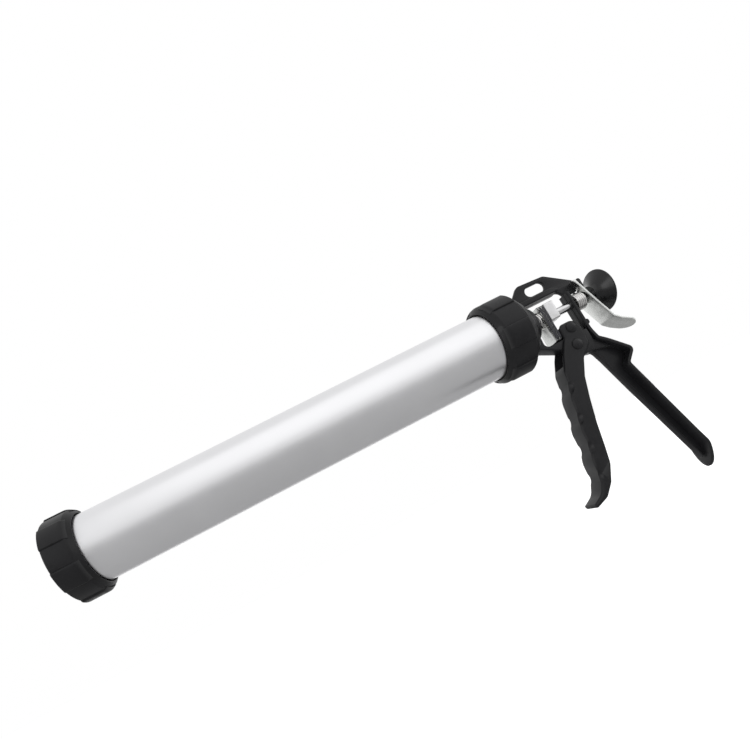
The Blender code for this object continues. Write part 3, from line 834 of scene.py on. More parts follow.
@dataclass
class Barrel:
    """The tube and its two lugged rings."""

    radius: float = 0.027
    wall: float = 0.0015
    front: float = -0.0135
    rear: float = 0.349
    visible: float = 0.338
    bead: float = 0.029
    ring_radius: float = 0.0339
    recess: float = 0.0011
    lug_count: int = 6
    cap_length: float = 0.0222
    mouth: float = 0.0205
    collar_end: float = 0.362
    cap_lug_angle: float = 31.2
    collar_lug_angle: float = 14.0
    lug_root: float = 0.0010
    lug_ease: float = 1.9
    skirt_gap: float = 0.0011
    bore_gap: float = 0.0003
    thread_radius: float = 0.0306

    def build(self, rounds: NodeTree) -> None:
        """Build the tube, the cap with its gasket, and the collar.

        Args:
            rounds: The tree that repeats a lug round a ring.
        """
        self._tube()
        self._gasket()
        self._ring("front_cap", self._cap_profile(), self._cap_lug(), self.cap_lug_angle,
                   rounds, "cap", "front_cap")
        self._ring("rear_collar", self._collar_profile(), self._collar_lug(),
                   self.collar_lug_angle, rounds, "collar", "rear_collar")

    def _tube(self) -> None:
        """Build the satin tube."""
        inside = self.radius - self.wall
        profile = rounded([
            (self.rear, self.bead, 0.0006), (self.rear - 0.002, self.bead, 0.0004),
            (self.rear - 0.0028, self.radius, 0.0), (self.front, self.radius, 0.0004),
            (self.front, inside, 0.0004), (self.rear, inside, 0.0004)], 30.0)
        mesh = revolved("barrel_tube", closer([*profile, profile[0]], 0.02)[:-1], 192)
        piece("barrel_tube", mesh, ALUMINIUM, "body", "barrel_tube")

    def _gasket(self) -> None:
        """Build the rubber ring that seals the tube in the cap."""
        face, shoulder = self.front - 0.0003, self.front - 0.0019
        profile = rounded([
            (face, 0.0266, 0.0003), (shoulder, 0.0266, 0.0003), (shoulder, 0.0220, 0.0005),
            (face, 0.0220, 0.0005)], 30.0)
        piece("cap_gasket", revolved("cap_gasket", profile), RUBBER, "gasket", "cap_gasket")

    def _cap_profile(self) -> list[Vector]:
        """Work out the cap's ring between its lugs.

        Returns:
            The closed profile, (along, radius).
        """
        base, length = self.ring_radius - self.recess, self.cap_length
        skirt, bore = self.radius + self.skirt_gap, self.radius + self.bore_gap
        shoulder = self.front - 0.0022
        return rounded([
            (0.0, 0.0287, 0.0004), (-0.0012, 0.0300, 0.001), (-0.0030, 0.0319, 0.001),
            (-0.0043, base, 0.0012), (-length, base, 0.0012), (-length, self.mouth, 0.0010),
            (shoulder, self.mouth, 0.0), (shoulder, bore, 0.0), (-0.0040, bore, 0.0),
            (-0.0040, skirt, 0.0), (0.0, skirt, 0.0)], 15.0)

    def _cap_lug(self) -> list[Vector]:
        """Work out one of the cap's lugs.

        Returns:
            The closed profile, (along, radius).
        """
        inner = self.ring_radius - self.recess - self.lug_root
        return rounded([
            (-0.0020, inner, 0.0), (-0.0054, self.ring_radius, 0.0050),
            (-self.cap_length, self.ring_radius, 0.0011),
            (-self.cap_length + 0.0001, inner, 0.0)], 15.0)

    def _collar_profile(self) -> list[Vector]:
        """Work out the collar's ring between its lugs.

        Returns:
            The closed profile, (along, radius).
        """
        base = self.ring_radius - self.recess
        start, end = self.visible, self.collar_end
        skirt, bore = self.radius + self.skirt_gap, self.radius + self.bore_gap
        thread = self.thread_radius
        lip_end = self.rear - 0.0032
        return rounded([
            (end, base, 0.0008), (start + 0.0043, base, 0.0012),
            (start + 0.0030, 0.0319, 0.001), (start + 0.0012, 0.0300, 0.001),
            (start, 0.0287, 0.0004), (start, skirt, 0.0), (start + 0.003, skirt, 0.0),
            (start + 0.003, bore, 0.0), (lip_end, bore, 0.0), (lip_end, thread, 0.0),
            (end, thread, 0.0004)], 15.0)

    def _collar_lug(self) -> list[Vector]:
        """Work out one of the collar's lugs.

        Returns:
            The closed profile, (along, radius).
        """
        inner = self.ring_radius - self.recess - self.lug_root
        return rounded([
            (self.collar_end - 0.0001, inner, 0.0), (self.collar_end, self.ring_radius, 0.0009),
            (self.visible + 0.0054, self.ring_radius, 0.0050),
            (self.visible + 0.0020, inner, 0.0)], 10.0)

    def _ring(self, name: str, ring: list[Vector], lug: list[Vector], angle: float,
              rounds: NodeTree, body: str, node: str) -> None:
        """Build one ring with its lugs.

        Args:
            name: The piece's name.
            ring: Profile of the ring.
            lug: Profile of a lug.
            angle: Degrees from the near side, downwards, to the middle of a lug.
            rounds: The tree that repeats the lug.
            body: The body it rides on.
            node: The CAD node it stands for.
        """
        one = self._lug_mesh(lug)
        lugs = rounds.run(one, {"Count": self.lug_count,
                                "First Angle": math.radians(angle),
                                "Axis": BARREL_AXIS, "Material": PLASTIC.build()})
        mesh = joined(name, [revolved(name, ring, 144), lugs])
        piece(name, mesh, PLASTIC, body, node)

    def _lug_mesh(self, profile: list[Vector]) -> bpy.types.Mesh:
        """One lug on the near side, swept round its arc with eased ends.

        Args:
            profile: Its section, (x, radius).

        Returns:
            The mesh, about the barrel axis.
        """
        half_arc = math.radians(360.0 / self.lug_count / 4.0)
        ease = math.radians(self.lug_ease)
        stops = [-half_arc + ease * (1.0 - math.cos(math.radians(k * 22.5))) for k in range(5)]
        stops += [(-half_arc + ease) * (1.0 - k / 6.0) for k in range(1, 6)]
        stops += [0.0, *(-stop for stop in reversed(stops))]
        floor = self.ring_radius - self.recess - self.lug_root
        work = bmesh.new()
        sections = []
        for stop in stops:
            share = min(1.0, (half_arc - abs(stop)) / ease)
            drop = self.recess * (1.0 - math.sqrt(max(0.0, 1.0 - (1.0 - share) ** 2)))
            section = []
            for along, radius in profile:
                eased = max(floor, radius - drop)
                section.append(work.verts.new((along, -eased * math.cos(stop),
                                               -eased * math.sin(stop))))
            sections.append(section)
        for first, second in zip(sections, sections[1:]):
            for k, vertex in enumerate(first):
                following = (k + 1) % len(first)
                work.faces.new((vertex, first[following], second[following], second[k]))
        work.faces.new(sections[0])
        work.faces.new(sections[-1][::-1])
        bmesh.ops.recalc_face_normals(work, faces=work.faces)
        mesh = bpy.data.meshes.new("lug")
        work.to_mesh(mesh)
        work.free()
        return mesh


# --------------------------------------------------------------------- frame

@dataclass
class Frame:
    """The die-cast frame: dome, window, slotted top plate, wall and handle."""

    hub_rear: float = 0.3805
    hub_seat: float = 0.3715
    hub_wall: float = 0.3665
    core_half: float = 0.0060
    web_half: float = 0.0017
    flange_half: float = 0.0100
    wall_flange_half: float = 0.0060
    flange_wall: float = 0.0026
    wall_x: float = 0.4205
    bead_half: float = 0.0024
    handle_end: float = -0.1678
    tongue: float = 0.0230
    window: tuple[Corner, ...] = ((0.3805, 0.0150, 0.003), (0.4190, 0.0150, 0.006),
                                  (0.4190, -0.0235, 0.003), (0.3790, -0.0232, 0.004),
                                  (0.3805, -0.0080, 0.004))
    slot: tuple[Corner, ...] = ((0.3910, 0.0300, 0.0044), (0.3910, 0.0212, 0.0044),
                                (0.4090, 0.0212, 0.0044), (0.4090, 0.0300, 0.0044))

    def build(self) -> None:
        """Join the frame's overlapping shapes, which aren't bored, as one piece."""
        mesh = joined("frame", [self._dome(), self._web(), self._core(), self._flange(),
                                self._bead(), self._lug(), self._nub()])
        piece("frame_casting", mesh, PAINT, "body", "frame")

    def _dome(self) -> bpy.types.Mesh:
        """Turn the dome with its hub and spring seat.

        Returns:
            The mesh in the row frame.
        """
        profile = rounded([
            (0.3493, 0.0303, 0.0005), (0.3624, 0.0303, 0.0), (0.3626, 0.0318, 0.0008),
            (0.3655, 0.0300, 0.0030), (0.3685, 0.0270, 0.0050), (0.3715, 0.0228, 0.0080),
            (0.3745, 0.0185, 0.0050), (0.3780, 0.0155, 0.0030),
            (self.hub_rear, 0.0146, 0.0009), (self.hub_rear, 0.0088, 0.0005),
            (self.hub_seat, 0.0088, 0.0), (self.hub_seat, 0.0039, 0.0),
            (self.hub_wall, 0.0039, 0.0), (self.hub_wall, 0.0150, 0.0),
            (0.3640, 0.0225, 0.0), (0.3600, 0.0262, 0.0), (0.3493, 0.0262, 0.0)], 10.0)
        return revolved("dome", profile, 144)

    def _handle_path(self) -> list[Vector]:
        """Lead the flange's middle from the top of the wall to the handle's end.

        Returns:
            The path's points, (x, z).
        """
        corners = [(self.wall_x, 0.0105, 0.0), (self.wall_x + 0.0005, -0.0350, 0.004),
                   (0.4405, -0.0553, 0.0030), (0.4310, -0.0645, 0.004),
                   (0.4503, -0.1378, 0.010), (0.4536, -0.1490, 0.010),
                   (0.4512, self.handle_end, 0.0)]
        return rounded(corners, 5.0)

    def _web(self) -> bpy.types.Mesh:
        """Cut the thin web, with the hanging slot and the window through it.

        Returns:
            The mesh in the row frame.
        """
        top_plate = rounded([
            (0.3720, 0.0150, 0.0), (0.3760, 0.0238, 0.004), (0.3868, 0.0342, 0.006),
            (0.4120, 0.0327, 0.006), (0.4330, 0.0182, 0.003), (0.4332, 0.0086, 0.0015),
            (0.4200, 0.0082, 0.0)])
        front = [Vector(point) for point in (
            (0.4488, -0.1600), (0.4456, -0.1480), (0.4366, -0.1175), (0.4273, -0.0857),
            (0.4184, -0.0528), (0.4157, -0.0446), (0.4125, -0.0400), (0.3800, -0.0225))]
        outline = top_plate + self._handle_path()[1:-1] + front
        return side_mesh("web", [outline, rounded(self.slot), rounded(self.window)],
                         self.web_half, 0.0006)

    def _core(self) -> bpy.types.Mesh:
        """Make the thick bars above and below the window, joined through the hub.

        Returns:
            The mesh in the row frame.
        """
        outline = rounded([
            (0.3690, 0.0195, 0.0), (0.4105, 0.0195, 0.004), (0.4176, 0.0152, 0.0010),
            (0.4120, 0.0150, 0.0), (self.hub_rear, 0.0150, 0.003),
            (self.hub_rear, -0.0080, 0.004), (0.3792, -0.0232, 0.004), (0.4180, -0.0235, 0.0),
            (0.4186, -0.0340, 0.002), (0.4290, -0.0455, 0.0), (0.4120, -0.0420, 0.0),
            (0.4045, -0.0422, 0.003), (0.3930, -0.0320, 0.006), (0.3740, -0.0225, 0.0),
            (0.3690, -0.0205, 0.0)])
        return side_mesh("core", [outline], self.core_half, 0.0009)

    def _flange(self) -> bpy.types.Mesh:
        """Lay the flange behind the wall and down the handle, wider where it is held.

        Returns:
            The mesh in the row frame.
        """
        def half_width(point: Vector) -> float:
            """Work out half the flange's width, rounded off at the handle's end.

            Args:
                point: A point of the path, (x, z).

            Returns:
                Half the width.
            """
            share = min(1.0, max(0.0, (-0.0230 - point.y) / 0.0190))
            share = share * share * (3.0 - 2.0 * share)
            width = (self.wall_flange_half
                     + (self.flange_half - self.wall_flange_half) * share)
            into = min(1.0, max(0.0, 1.0 - (point.y - self.handle_end) / self.tongue))
            return max(0.0012, width * math.sqrt(1.0 - into * into))
        return ribbon("flange", closer(self._handle_path(), 0.0008), self.flange_wall,
                      half_width, 0.0008)

    def _bead(self) -> bpy.types.Mesh:
        """Lay the slim bead along the handle's front edge.

        Returns:
            The mesh in the row frame.
        """
        path = [Vector(point) for point in (
            (0.4490, -0.1580), (0.4462, -0.1480), (0.4374, -0.1175), (0.4281, -0.0857),
            (0.4192, -0.0528), (0.4165, -0.0446), (0.4140, -0.0410))]
        return ribbon("bead", path, 0.0018, lambda point: self.bead_half, 0.0006)

    def _lug(self) -> bpy.types.Mesh:
        """Make the hooked lug that the release plate hangs on.

        Returns:
            The mesh in the row frame.
        """
        outline = rounded([
            (0.4310, 0.0095, 0.0), (0.4392, 0.0090, 0.0015), (0.4392, 0.0178, 0.0020),
            (0.4365, 0.0178, 0.0010), (0.4350, 0.0142, 0.0008), (0.4310, 0.0142, 0.0)])
        return side_mesh("hook", [outline], 0.0020, 0.0004)

    def _nub(self) -> bpy.types.Mesh:
        """Make the small stop behind the wall.

        Returns:
            The mesh in the row frame.
        """
        outline = rounded([
            (0.4205, -0.0215, 0.0), (0.4262, -0.0205, 0.0018), (0.4262, -0.0165, 0.0018),
            (0.4205, -0.0155, 0.0)])
        return side_mesh("nub", [outline], 0.0030, 0.0006)


# ------------------------------------------------------------------- trigger

@dataclass
class Trigger:
    """The pressed trigger channel with its rivets, spacer and bush."""

    pivot: Point = (0.4022, -0.0321)
    drive_pin: Point = (0.4051, -0.0176)
    outer: float = 0.0086
    inner: float = 0.0063
    pin_radius: float = 0.0032
    head_radius: float = 0.0046
    head_height: float = 0.0020
    wall: float = 0.0030
    scoop: float = 0.0085
    scoop_offset: Point = (0.0050, 0.0040)
    grooves: tuple[Point, ...] = ((0.3672, -0.1080), (0.3718, -0.0840), (0.3785, -0.0590),
                                  (0.3615, -0.1310))
    front: tuple[Corner, ...] = (
        (0.3458, -0.1490, 0.0013), (0.3556, -0.1440, 0.012), (0.3615, -0.1330, 0.014),
        (0.3628, -0.1190, 0.022), (0.3672, -0.1080, 0.018), (0.3680, -0.0940, 0.020),
        (0.3718, -0.0840, 0.020), (0.3742, -0.0690, 0.022), (0.3785, -0.0590, 0.022),
        (0.3808, -0.0470, 0.012))
    head: tuple[Corner, ...] = (
        (0.3872, -0.0350, 0.006), (0.3954, -0.0232, 0.002), (0.3954, -0.0150, 0.003),
        (0.3990, -0.0120, 0.003), (0.4095, -0.0120, 0.006), (0.4138, -0.0200, 0.006),
        (0.4125, -0.0360, 0.007), (0.4020, -0.0440, 0.008))
    back: tuple[Corner, ...] = (
        (0.3942, -0.0580, 0.010), (0.3882, -0.0755, 0.020), (0.3825, -0.0950, 0.020),
        (0.3784, -0.1130, 0.020), (0.3748, -0.1270, 0.012), (0.3673, -0.1402, 0.010),
        (0.3585, -0.1486, 0.006), (0.3468, -0.1524, 0.0013))

    def build(self, rows: NodeTree) -> None:
        """Build the channel and what is riveted through it.

        Args:
            rows: The tree that repeats a shape in a row.
        """
        outline = rounded([*self.front, *self.head, *self.back], 3.0)
        shell = side_mesh("trigger", [outline], self.outer, 0.0022, 5)
        shifted = [(x + self.wall, z, radius) for x, z, radius in self.front[1:]]
        hollow = rounded([*shifted, (0.3815, -0.0370, 0.003), (0.3700, -0.0280, 0.0),
                          (0.3700, 0.0, 0.0), (0.4400, 0.0, 0.0), (0.4400, -0.1700, 0.0),
                          (0.3650, -0.1700, 0.0)], 10.0)
        channel = side_mesh("channel", [hollow], self.inner, 0.0004, 1)
        mesh = cut(shell, [channel, *self._scoops()])
        piece("trigger_channel", mesh, PAINT, "trigger_lever", "trigger")
        self._rivets(rows)
        self._sleeve("trigger_spacer", self.drive_pin, 0.0044, "trigger_lever",
                     "trigger_spacer")
        self._sleeve("pivot_bush", self.pivot, 0.0046, "body", "pivot_bush")

    def _scoops(self) -> list[bpy.types.Mesh]:
        """Turn the balls that hollow the front edges where the fingers lie.

        Returns:
            The balls, one for each side of each groove.
        """
        balls = []
        arc = [Vector((self.scoop * math.cos(math.radians(angle)),
                       self.scoop * math.sin(math.radians(angle))))
               for angle in range(0, 181, 9)]
        for number, (x, z) in enumerate(self.grooves):
            for side in (-1.0, 1.0):
                stand = Matrix.Translation((x - self.scoop_offset[0],
                                            side * (self.outer + self.scoop_offset[1]), z))
                balls.append(revolved("scoop_%d_%+d" % (number, side), arc, 40, stand))
        return balls

    def _across(self, place: Point) -> Matrix:
        """What lays a turned shape across the gun at a place."""
        return (Matrix.Translation((place[0], 0.0, place[1]))
                @ Matrix.Rotation(math.pi / 2.0, 4, "Z"))

    def _rivets(self, rows: NodeTree) -> None:
        """Build the two rivets, domed at both ends, as one row.

        Args:
            rows: The tree that repeats a shape in a row.
        """
        seat = self.outer + 0.00015
        dome = [Vector((seat + self.head_height * math.sin(math.radians(angle)),
                        self.head_radius * math.cos(math.radians(angle))))
                for angle in range(90, -1, -9)]
        far = [Vector((-along, radius)) for along, radius in reversed(dome)]
        profile = [*dome, Vector((seat, self.pin_radius)), Vector((-seat, self.pin_radius)),
                   *far]
        one = revolved("rivets", profile, 48, self._across(self.pivot))
        step = (self.drive_pin[0] - self.pivot[0], 0.0, self.drive_pin[1] - self.pivot[1])
        mesh = rows.run(one, {"Count": 2, "Step": step, "Material": PAINT.build()})
        piece("trigger_rivets", mesh, PAINT, "trigger_lever", "pivot_pin", "drive_pin")

    def _sleeve(self, name: str, place: Point, radius: float, body: str, node: str) -> None:
        """Build a plain sleeve between the cheeks.

        Args:
            name: The piece's name.
            place: Its axis, (x, z).
            radius: Its outer radius.
            body: The body it rides on.
            node: The CAD node it stands for.
        """
        half, inside = self.inner - 0.0003, self.pin_radius + 0.0001
        profile = rounded([(half, radius, 0.0004), (-half, radius, 0.0004),
                           (-half, inside, 0.0), (half, inside, 0.0)], 30.0)
        piece(name, revolved(name, profile, 48, self._across(place)), ROD_STEEL, body, node)


# --------------------------------------------------------------------- drive

@dataclass
class Drive:
    """The grip plates, the drive block and the two springs."""

    rod_radius: float = 0.0034
    plate_front: float = 0.3896
    plate_wall: float = 0.0023
    plate_half: float = 0.0080
    gap: float = 0.0003
    block_rear: float = 0.4032
    spring_radius: float = 0.0066
    wire: float = 0.0008
    return_start: float = 0.3718
    release_start: float = 0.4221
    release_end: float = 0.4322
    travel: float = 0.00658
    return_turns: float = 6.5
    release_turns: float = 5.0
    release_travel: float = 0.0018
    # How square to the sides a face must be to take the painted shade.
    shaded_side_facing: float = 0.8

    def build(self, rows: NodeTree, coils: NodeTree) -> None:
        """Build what the trigger pushes, and the springs.

        Args:
            rows: The tree that repeats a shape in a row.
            coils: The tree that winds a spring.
        """
        hole = circle(self.rod_radius + 0.0005)
        half, rise = self.plate_half, self.plate_wall + self.gap
        outline = rounded([(0.0100, -half, 0.004), (0.0100, half, 0.004),
                           (-0.0226, half, 0.003), (-0.0226, -half, 0.003)])
        one = cross_mesh("grip_plates", [outline, hole], self.plate_front,
                         self.plate_front + self.plate_wall, 0.00035)
        mesh = rows.run(one, {"Count": 2, "Step": (rise, 0.0, 0.0), "Material": ZINC.build()})
        plates = piece("grip_plates", mesh, ZINC, "drive", "grip_plate_front",
                       "grip_plate_rear")
        # The plates' near and far sides take the near-black copy of the zinc: painted shade.
        plates.data.materials.append(SHADED_PLATE_SIDE.build())
        for face in plates.data.polygons:
            if abs(face.normal.y) > self.shaded_side_facing:
                face.material_index = 1
        outline = rounded([(0.0098, -half, 0.001), (0.0098, half, 0.001),
                           (-0.0056, half, 0.001), (-0.0056, -half, 0.001)])
        block = cross_mesh("drive_block", [outline, hole], self.plate_front + 2.0 * rise,
                           self.block_rear, 0.0005)
        piece("drive_block", block, BLOCK_STEEL, "drive", "drive_block")
        self._springs(coils)

    def _springs(self, coils: NodeTree) -> None:
        """Wind both springs.

        Args:
            coils: The tree that winds a spring.
        """
        for name, start, end, turns, joint, press in (
                ("return_spring", self.return_start, self.plate_front - self.gap,
                 self.return_turns, "drive_slide", self.travel),
                ("release_spring", self.release_start, self.release_end,
                 self.release_turns, "release_press", self.release_travel)):
            length = end - start
            origin = BARREL_AXIS + Vector((start, 0.0, 0.0))
            mesh = coils.run(bpy.data.meshes.new(name), {
                "Turns": turns, "Length": length, "Coil Radius": self.spring_radius,
                "Wire Radius": self.wire, "Origin": origin, "Material": SPRING_STEEL.build()})
            spring = piece(name, mesh, SPRING_STEEL, "body", name)
            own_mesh(spring)


@dataclass
class Release:
    """The release plate with its thumb tab."""

    wall: float = 0.0020
    half: float = 0.0088
    hole: float = 0.0045
    tab_end: float = 0.4605
    tab_corner: float = 0.0080
    top_corner: float = 0.0020
    top: float = 0.0165
    tab_slope: float = 1.13

    def build(self) -> None:
        """Build the plate, bored for the rod and notched for the frame's hook."""
        path = closer(rounded([(0.4286, self.top, 0.0), (0.4428, -0.0250, 0.004),
                               (0.4480, -0.0297, 0.004), (self.tab_end, -0.0376, 0.0)], 5.0),
                      0.0006)

        def half_width(point: Vector) -> float:
            """Work out half the plate's width, rounded off at both its ends.

            Args:
                point: A point of the path, (x, z).

            Returns:
                Half the width.
            """
            radius = self.top_corner if point.y > 0.0 else self.tab_corner
            left = (self.top - point.y if point.y > 0.0
                    else (self.tab_end - point.x) * self.tab_slope)
            into = max(0.0, radius - left)
            return self.half - radius + math.sqrt(max(0.0, radius ** 2 - into ** 2))

        plate = ribbon("release_plate", path, self.wall, half_width, 0.0005)
        bore = revolved("bore", [Vector((0.4500, 0.0)), Vector((0.4500, self.hole)),
                                 Vector((0.4200, self.hole)), Vector((0.4200, 0.0))], 64)
        notch = cross_mesh("notch", [rounded([
            (0.0300, -0.0026, 0.0), (0.0300, 0.0026, 0.0), (0.0072, 0.0026, 0.0015),
            (0.0072, -0.0026, 0.0015)])], 0.4150, 0.4500, 0.0001, 0)
        piece("release_plate", cut(plate, [bore, notch]), ZINC, "release", "release_plate")


# ----------------------------------------------------------------------- rod

@dataclass
class Plunger:
    """The rod with its knob, and the piston stack at its front end."""

    radius: float = 0.0034
    rear: float = 0.4475
    thread_end: float = 0.0290
    thread_pitch: float = 0.00125
    thread_depth: float = 0.0004
    knob_front: float = 0.4400
    knob_rear: float = 0.4507
    knob_rim: float = 0.0180
    knob_neck: float = 0.0078
    flare_share: float = 0.88
    flare_steps: int = 24
    piston: float = 0.0251
    bore: float = field(init=False)

    def __post_init__(self) -> None:
        """Work out the bore of what sits on the rod."""
        self.bore = self.radius + 0.0003

    def build(self, rows: NodeTree) -> None:
        """Build everything that slides with the rod.

        Args:
            rows: The tree that repeats a shape in a row.
        """
        self._rod(rows)
        self._knob()
        self._nut("knob_nut", self.knob_rear - 0.0057, self.knob_rear - 0.0024, 0.0100,
                  "knob_nut")
        self._nut("piston_front_nut", 0.0014, 0.0060, 0.0110, "piston_front_nut")
        self._disc("piston_front_washer", 0.0063, 0.0077, 0.0095, ZINC, "piston_front_washer")
        self._disc("piston_disc", 0.0080, 0.0130, self.piston - 0.0006, NYLON, "piston_disc")
        self._cup()
        self._disc("piston_rear_washer", 0.0168, 0.0186, 0.0150, ZINC, "piston_rear_washer")
        self._nut("piston_rear_nut", 0.0189, 0.0235, 0.0110, "piston_rear_nut")

    def _rod(self, rows: NodeTree) -> None:
        """Build the rod, threaded where the piston's nuts sit.

        Args:
            rows: The tree that repeats a shape in a row.
        """
        core, end = self.radius - self.thread_depth, self.thread_end
        profile = rounded([(self.rear, 0.0, 0.0), (self.rear, self.radius, 0.0005),
                           (end, self.radius, 0.0002), (end - self.thread_depth, core, 0.0),
                           (0.0, core, 0.0003), (0.0, 0.0, 0.0)], 15.0)
        rod = revolved("rod", closer(profile, 0.02), 96)
        crest = self.thread_pitch / 8.0
        ridge = [Vector((self.thread_pitch - crest, core - 0.0001)),
                 Vector((self.thread_pitch / 2.0 + crest, self.radius)),
                 Vector((self.thread_pitch / 2.0 - crest, self.radius)),
                 Vector((crest, core - 0.0001))]
        count = int((end - self.thread_depth) / self.thread_pitch)
        thread = rows.run(revolved("thread", ridge, 48), {
            "Count": count, "Step": (self.thread_pitch, 0.0, 0.0),
            "Material": ROD_STEEL.build()})
        piece("rod", joined("rod", [rod, thread]), ROD_STEEL, "plunger", "rod")

    def _knob(self) -> None:
        """Build the trumpet knob."""
        length = (self.knob_rear - self.knob_front) * self.flare_share
        flare = []
        for step in range(self.flare_steps + 1):
            share = step / self.flare_steps
            radius = self.knob_neck + ((self.knob_rim - 0.0002) - self.knob_neck) * (
                1.0 - math.cos(share * math.pi / 2.0))
            flare.append(Vector((self.knob_front + length * share, radius)))
        rim_front = self.knob_front + length
        rim = rounded([
            (self.knob_rear, 0.0120, 0.0006), (self.knob_rear, self.knob_rim, 0.0006),
            (rim_front + 0.0001, self.knob_rim, 0.0004),
            (rim_front, self.knob_rim - 0.0004, 0.0)], 15.0)
        back = [Vector(point) for point in (
            (self.knob_front, self.bore), (self.knob_rear - 0.0060, self.bore),
            (self.knob_rear - 0.0060, 0.0075), (self.knob_rear - 0.0012, 0.0088),
            (self.knob_rear - 0.0005, 0.0100))]
        profile = [*rim, *reversed(flare), *back]
        piece("pull_knob", revolved("knob", profile, 144), GLOSS, "plunger", "knob")

    def _cup(self) -> None:
        """Build the rubber cup that wipes the barrel."""
        radius, bore = self.piston, self.bore
        profile = rounded([
            (0.0240, radius, 0.0004), (0.0160, radius - 0.0003, 0.002),
            (0.0133, radius - 0.0012, 0.0006), (0.0133, bore, 0.0), (0.0165, bore, 0.0),
            (0.0165, radius - 0.0032, 0.001), (0.0240, radius - 0.0016, 0.0004)], 15.0)
        piece("piston_cup", revolved("piston_cup", profile), RUBBER, "plunger", "piston_cup")

    def _nut(self, name: str, front: float, rear: float, flats: float, node: str) -> None:
        """Build a hexagon nut.

        Args:
            name: The piece's name.
            front: Its front face.
            rear: Its rear face.
            flats: Width across its flats.
            node: The CAD node it stands for.
        """
        reach = flats / 2.0 / math.cos(math.radians(30.0))
        outline = rounded([(reach * math.cos(math.radians(60.0 * k)),
                            reach * math.sin(math.radians(60.0 * k)), 0.0004)
                           for k in range(6)])
        mesh = cross_mesh(name, [outline, circle(self.bore)], front, rear, 0.0004)
        piece(name, mesh, ZINC, "plunger", node)

    def _disc(self, name: str, front: float, rear: float, radius: float, finish: Finish,
              node: str) -> None:
        """Build a flat disc with eased edges.

        Args:
            name: The piece's name.
            front: Its front face.
            rear: Its rear face.
            radius: Its outer radius.
            finish: Its finish.
            node: The CAD node it stands for.
        """
        profile = rounded([(rear, radius, 0.0004), (front, radius, 0.0004),
                           (front, self.bore, 0.0), (rear, self.bore, 0.0)], 30.0)
        piece(name, revolved(name, profile), finish, "plunger", node)


# --------------------------------------------------------------------- stage

@dataclass(frozen=True)
class Softbox:
    """A square softbox that faces a point.

    Attributes:
        name: Its name.
        place: Where it hangs.
        target: What it faces.
        size: Its side.
        power: Its power in watts.
    """

    name: str
    place: Corner
    target: Corner
    size: float
    power: float


SOFTBOXES = (Softbox("top softbox", (0.15, -1.00, 1.30), (0.0, 0.0, 0.0), 1.9, 3.5),
             Softbox("front softbox", (-1.50, -0.55, 0.30), (0.0, 0.0, 0.1), 0.7, 2.5),
             Softbox("side softbox", (1.20, -0.60, 0.60), (-0.1, 0.0, 0.1), 0.7, 2.0))


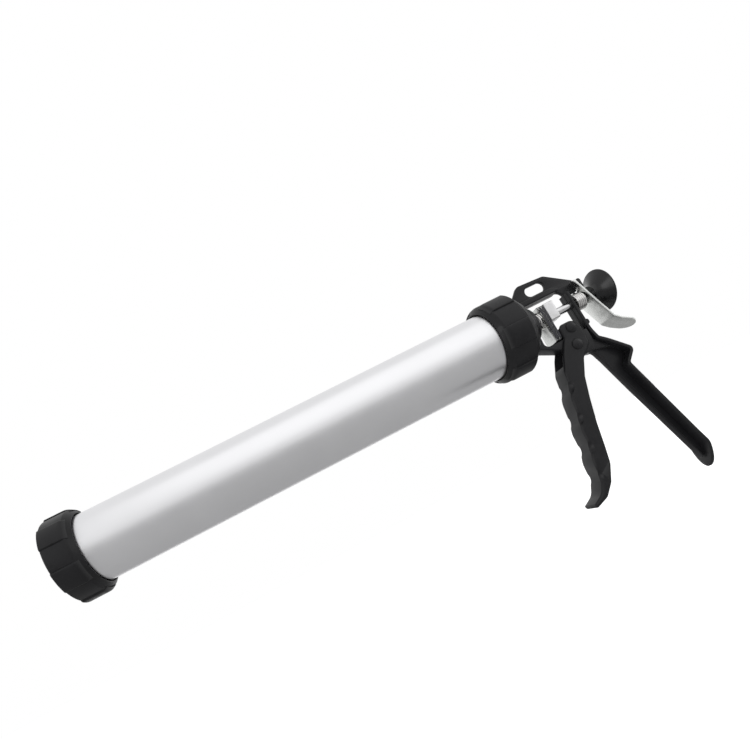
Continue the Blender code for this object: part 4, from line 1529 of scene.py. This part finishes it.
@dataclass
class Studio:
    """The pale floor, the soft light and the camera."""

    floor_level: float = -0.42
    floor_size: float = 12.0
    floor_grey: float = 0.93
    floor_glow: float = 0.45
    flag_grey: float = 0.43
    flag_reach: float = 3.0
    flag_far: float = 1.60
    flag_near: float = -1.40
    flag_level: float = -0.41
    flag_top: float = 0.05
    sky_light: float = 0.91
    camera_place: Corner = (-0.29042, -0.36445, 0.02749)
    camera_right: Corner = (0.88064, -0.0503, -0.4711)
    camera_up: Corner = (0.46136, -0.1354, 0.8768)
    camera_ahead: Corner = (0.10783, 0.9895, 0.0961)
    focal_share: float = 479.6 / 750.0
    shift: Point = (0.04627, 0.14427)

    def build(self) -> None:
        """Set up everything that isn't the gun."""
        self._floor()
        self._sky()
        self._flag()
        for box in SOFTBOXES:
            self._light(box)
        bpy.context.scene.view_settings.view_transform = "Standard"
        self._camera()

    def _floor(self) -> None:
        """Lay the floor."""
        mesh = bpy.data.meshes.new("floor")
        size, level = self.floor_size, self.floor_level
        mesh.from_pydata([(-size, -size, level), (size, -size, level), (size, size, level),
                          (-size, size, level)], [], [(0, 1, 2, 3)])
        self._stage("floor", mesh, self.floor_grey, self.floor_glow)

    def _flag(self) -> None:
        """Lay a grey flag low in front, which only glossy surfaces see from below."""
        mesh = bpy.data.meshes.new("flag")
        reach, far, near = self.flag_reach, self.flag_far, self.flag_near
        level, top = self.flag_level, self.flag_top
        mesh.from_pydata([(-reach, far, level), (reach, far, level), (reach, near, level),
                          (-reach, near, level), (reach, near, top), (-reach, near, top)],
                         [], [(0, 1, 2, 3), (3, 2, 4, 5)])
        flag = self._stage("flag", mesh, self.flag_grey, 0.0)
        flag.visible_camera = False
        flag.visible_diffuse = False
        flag.visible_shadow = False

    def _stage(self, name: str, mesh: bpy.types.Mesh, grey: float,
               glow: float) -> bpy.types.Object:
        """Make a stage piece of one matt grey.

        Args:
            name: Its name.
            mesh: Its mesh.
            grey: Its brightness.
            glow: How brightly it shines by itself.

        Returns:
            The piece.
        """
        paint = bpy.data.materials.new(name)
        paint.use_nodes = True
        shader = paint.node_tree.nodes["Principled BSDF"]
        shader.inputs["Base Color"].default_value = (grey, grey, grey, 1.0)
        shader.inputs["Roughness"].default_value = 0.9
        shader.inputs["Specular IOR Level"].default_value = 0.1
        shader.inputs["Emission Color"].default_value = (1.0, 1.0, 1.0, 1.0)
        shader.inputs["Emission Strength"].default_value = glow
        mesh.materials.append(paint)
        item = bpy.data.objects.new(name, mesh)
        bpy.context.scene.collection.objects.link(item)
        return item

    def _sky(self) -> None:
        """Fill the surroundings with white, dimmer as a light than as a backdrop."""
        world = bpy.data.worlds.new("studio")
        world.use_nodes = True
        tree = world.node_tree
        ground = tree.nodes["Background"]
        ground.inputs["Color"].default_value = (1.0, 1.0, 1.0, 1.0)
        seen = tree.nodes.new("ShaderNodeLightPath").outputs["Is Camera Ray"]
        level = tree.nodes.new("ShaderNodeMapRange")
        level.inputs["To Min"].default_value = self.sky_light
        level.inputs["To Max"].default_value = 1.0
        tree.links.new(seen, level.inputs["Value"])
        tree.links.new(level.outputs["Result"], ground.inputs["Strength"])
        bpy.context.scene.world = world

    def _light(self, box: Softbox) -> None:
        """Hang a softbox.

        Args:
            box: The softbox.
        """
        lamp = bpy.data.lights.new(box.name, "AREA")
        lamp.shape = "SQUARE"
        lamp.size = box.size
        lamp.energy = box.power
        item = bpy.data.objects.new(box.name, lamp)
        item.location = box.place
        aim = Vector(box.target) - Vector(box.place)
        item.rotation_euler = aim.to_track_quat("-Z", "Y").to_euler()
        item.visible_camera = False
        bpy.context.scene.collection.objects.link(item)

    def _camera(self) -> None:
        """Stand the camera low in front of the gun, turned on its own axis."""
        lens = bpy.data.cameras.new("camera")
        lens.sensor_width = 36.0
        lens.lens = lens.sensor_width * self.focal_share
        lens.shift_x, lens.shift_y = self.shift
        lens.clip_start = 0.01
        item = bpy.data.objects.new("camera", lens)
        columns = (Vector(self.camera_right), Vector(self.camera_up),
                   -Vector(self.camera_ahead), Vector(self.camera_place))
        item.matrix_world = Matrix([[column[row] for column in columns] for row in range(3)]
                                   + [[0.0, 0.0, 0.0, 1.0]])
        bpy.context.scene.collection.objects.link(item)
        bpy.context.scene.camera = item


def main() -> None:
    """Build the gun and its studio."""
    logging.basicConfig(level=logging.INFO, format="%(name)s %(message)s")
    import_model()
    rounds, rows, coils = round_array(), row_array(), coil_tree()
    Barrel().build(rounds)
    Frame().build()
    Trigger().build(rows)
    Drive().build(rows, coils)
    Release().build()
    Plunger().build(rows)
    Studio().build()


if __name__ == "__main__":
    main()
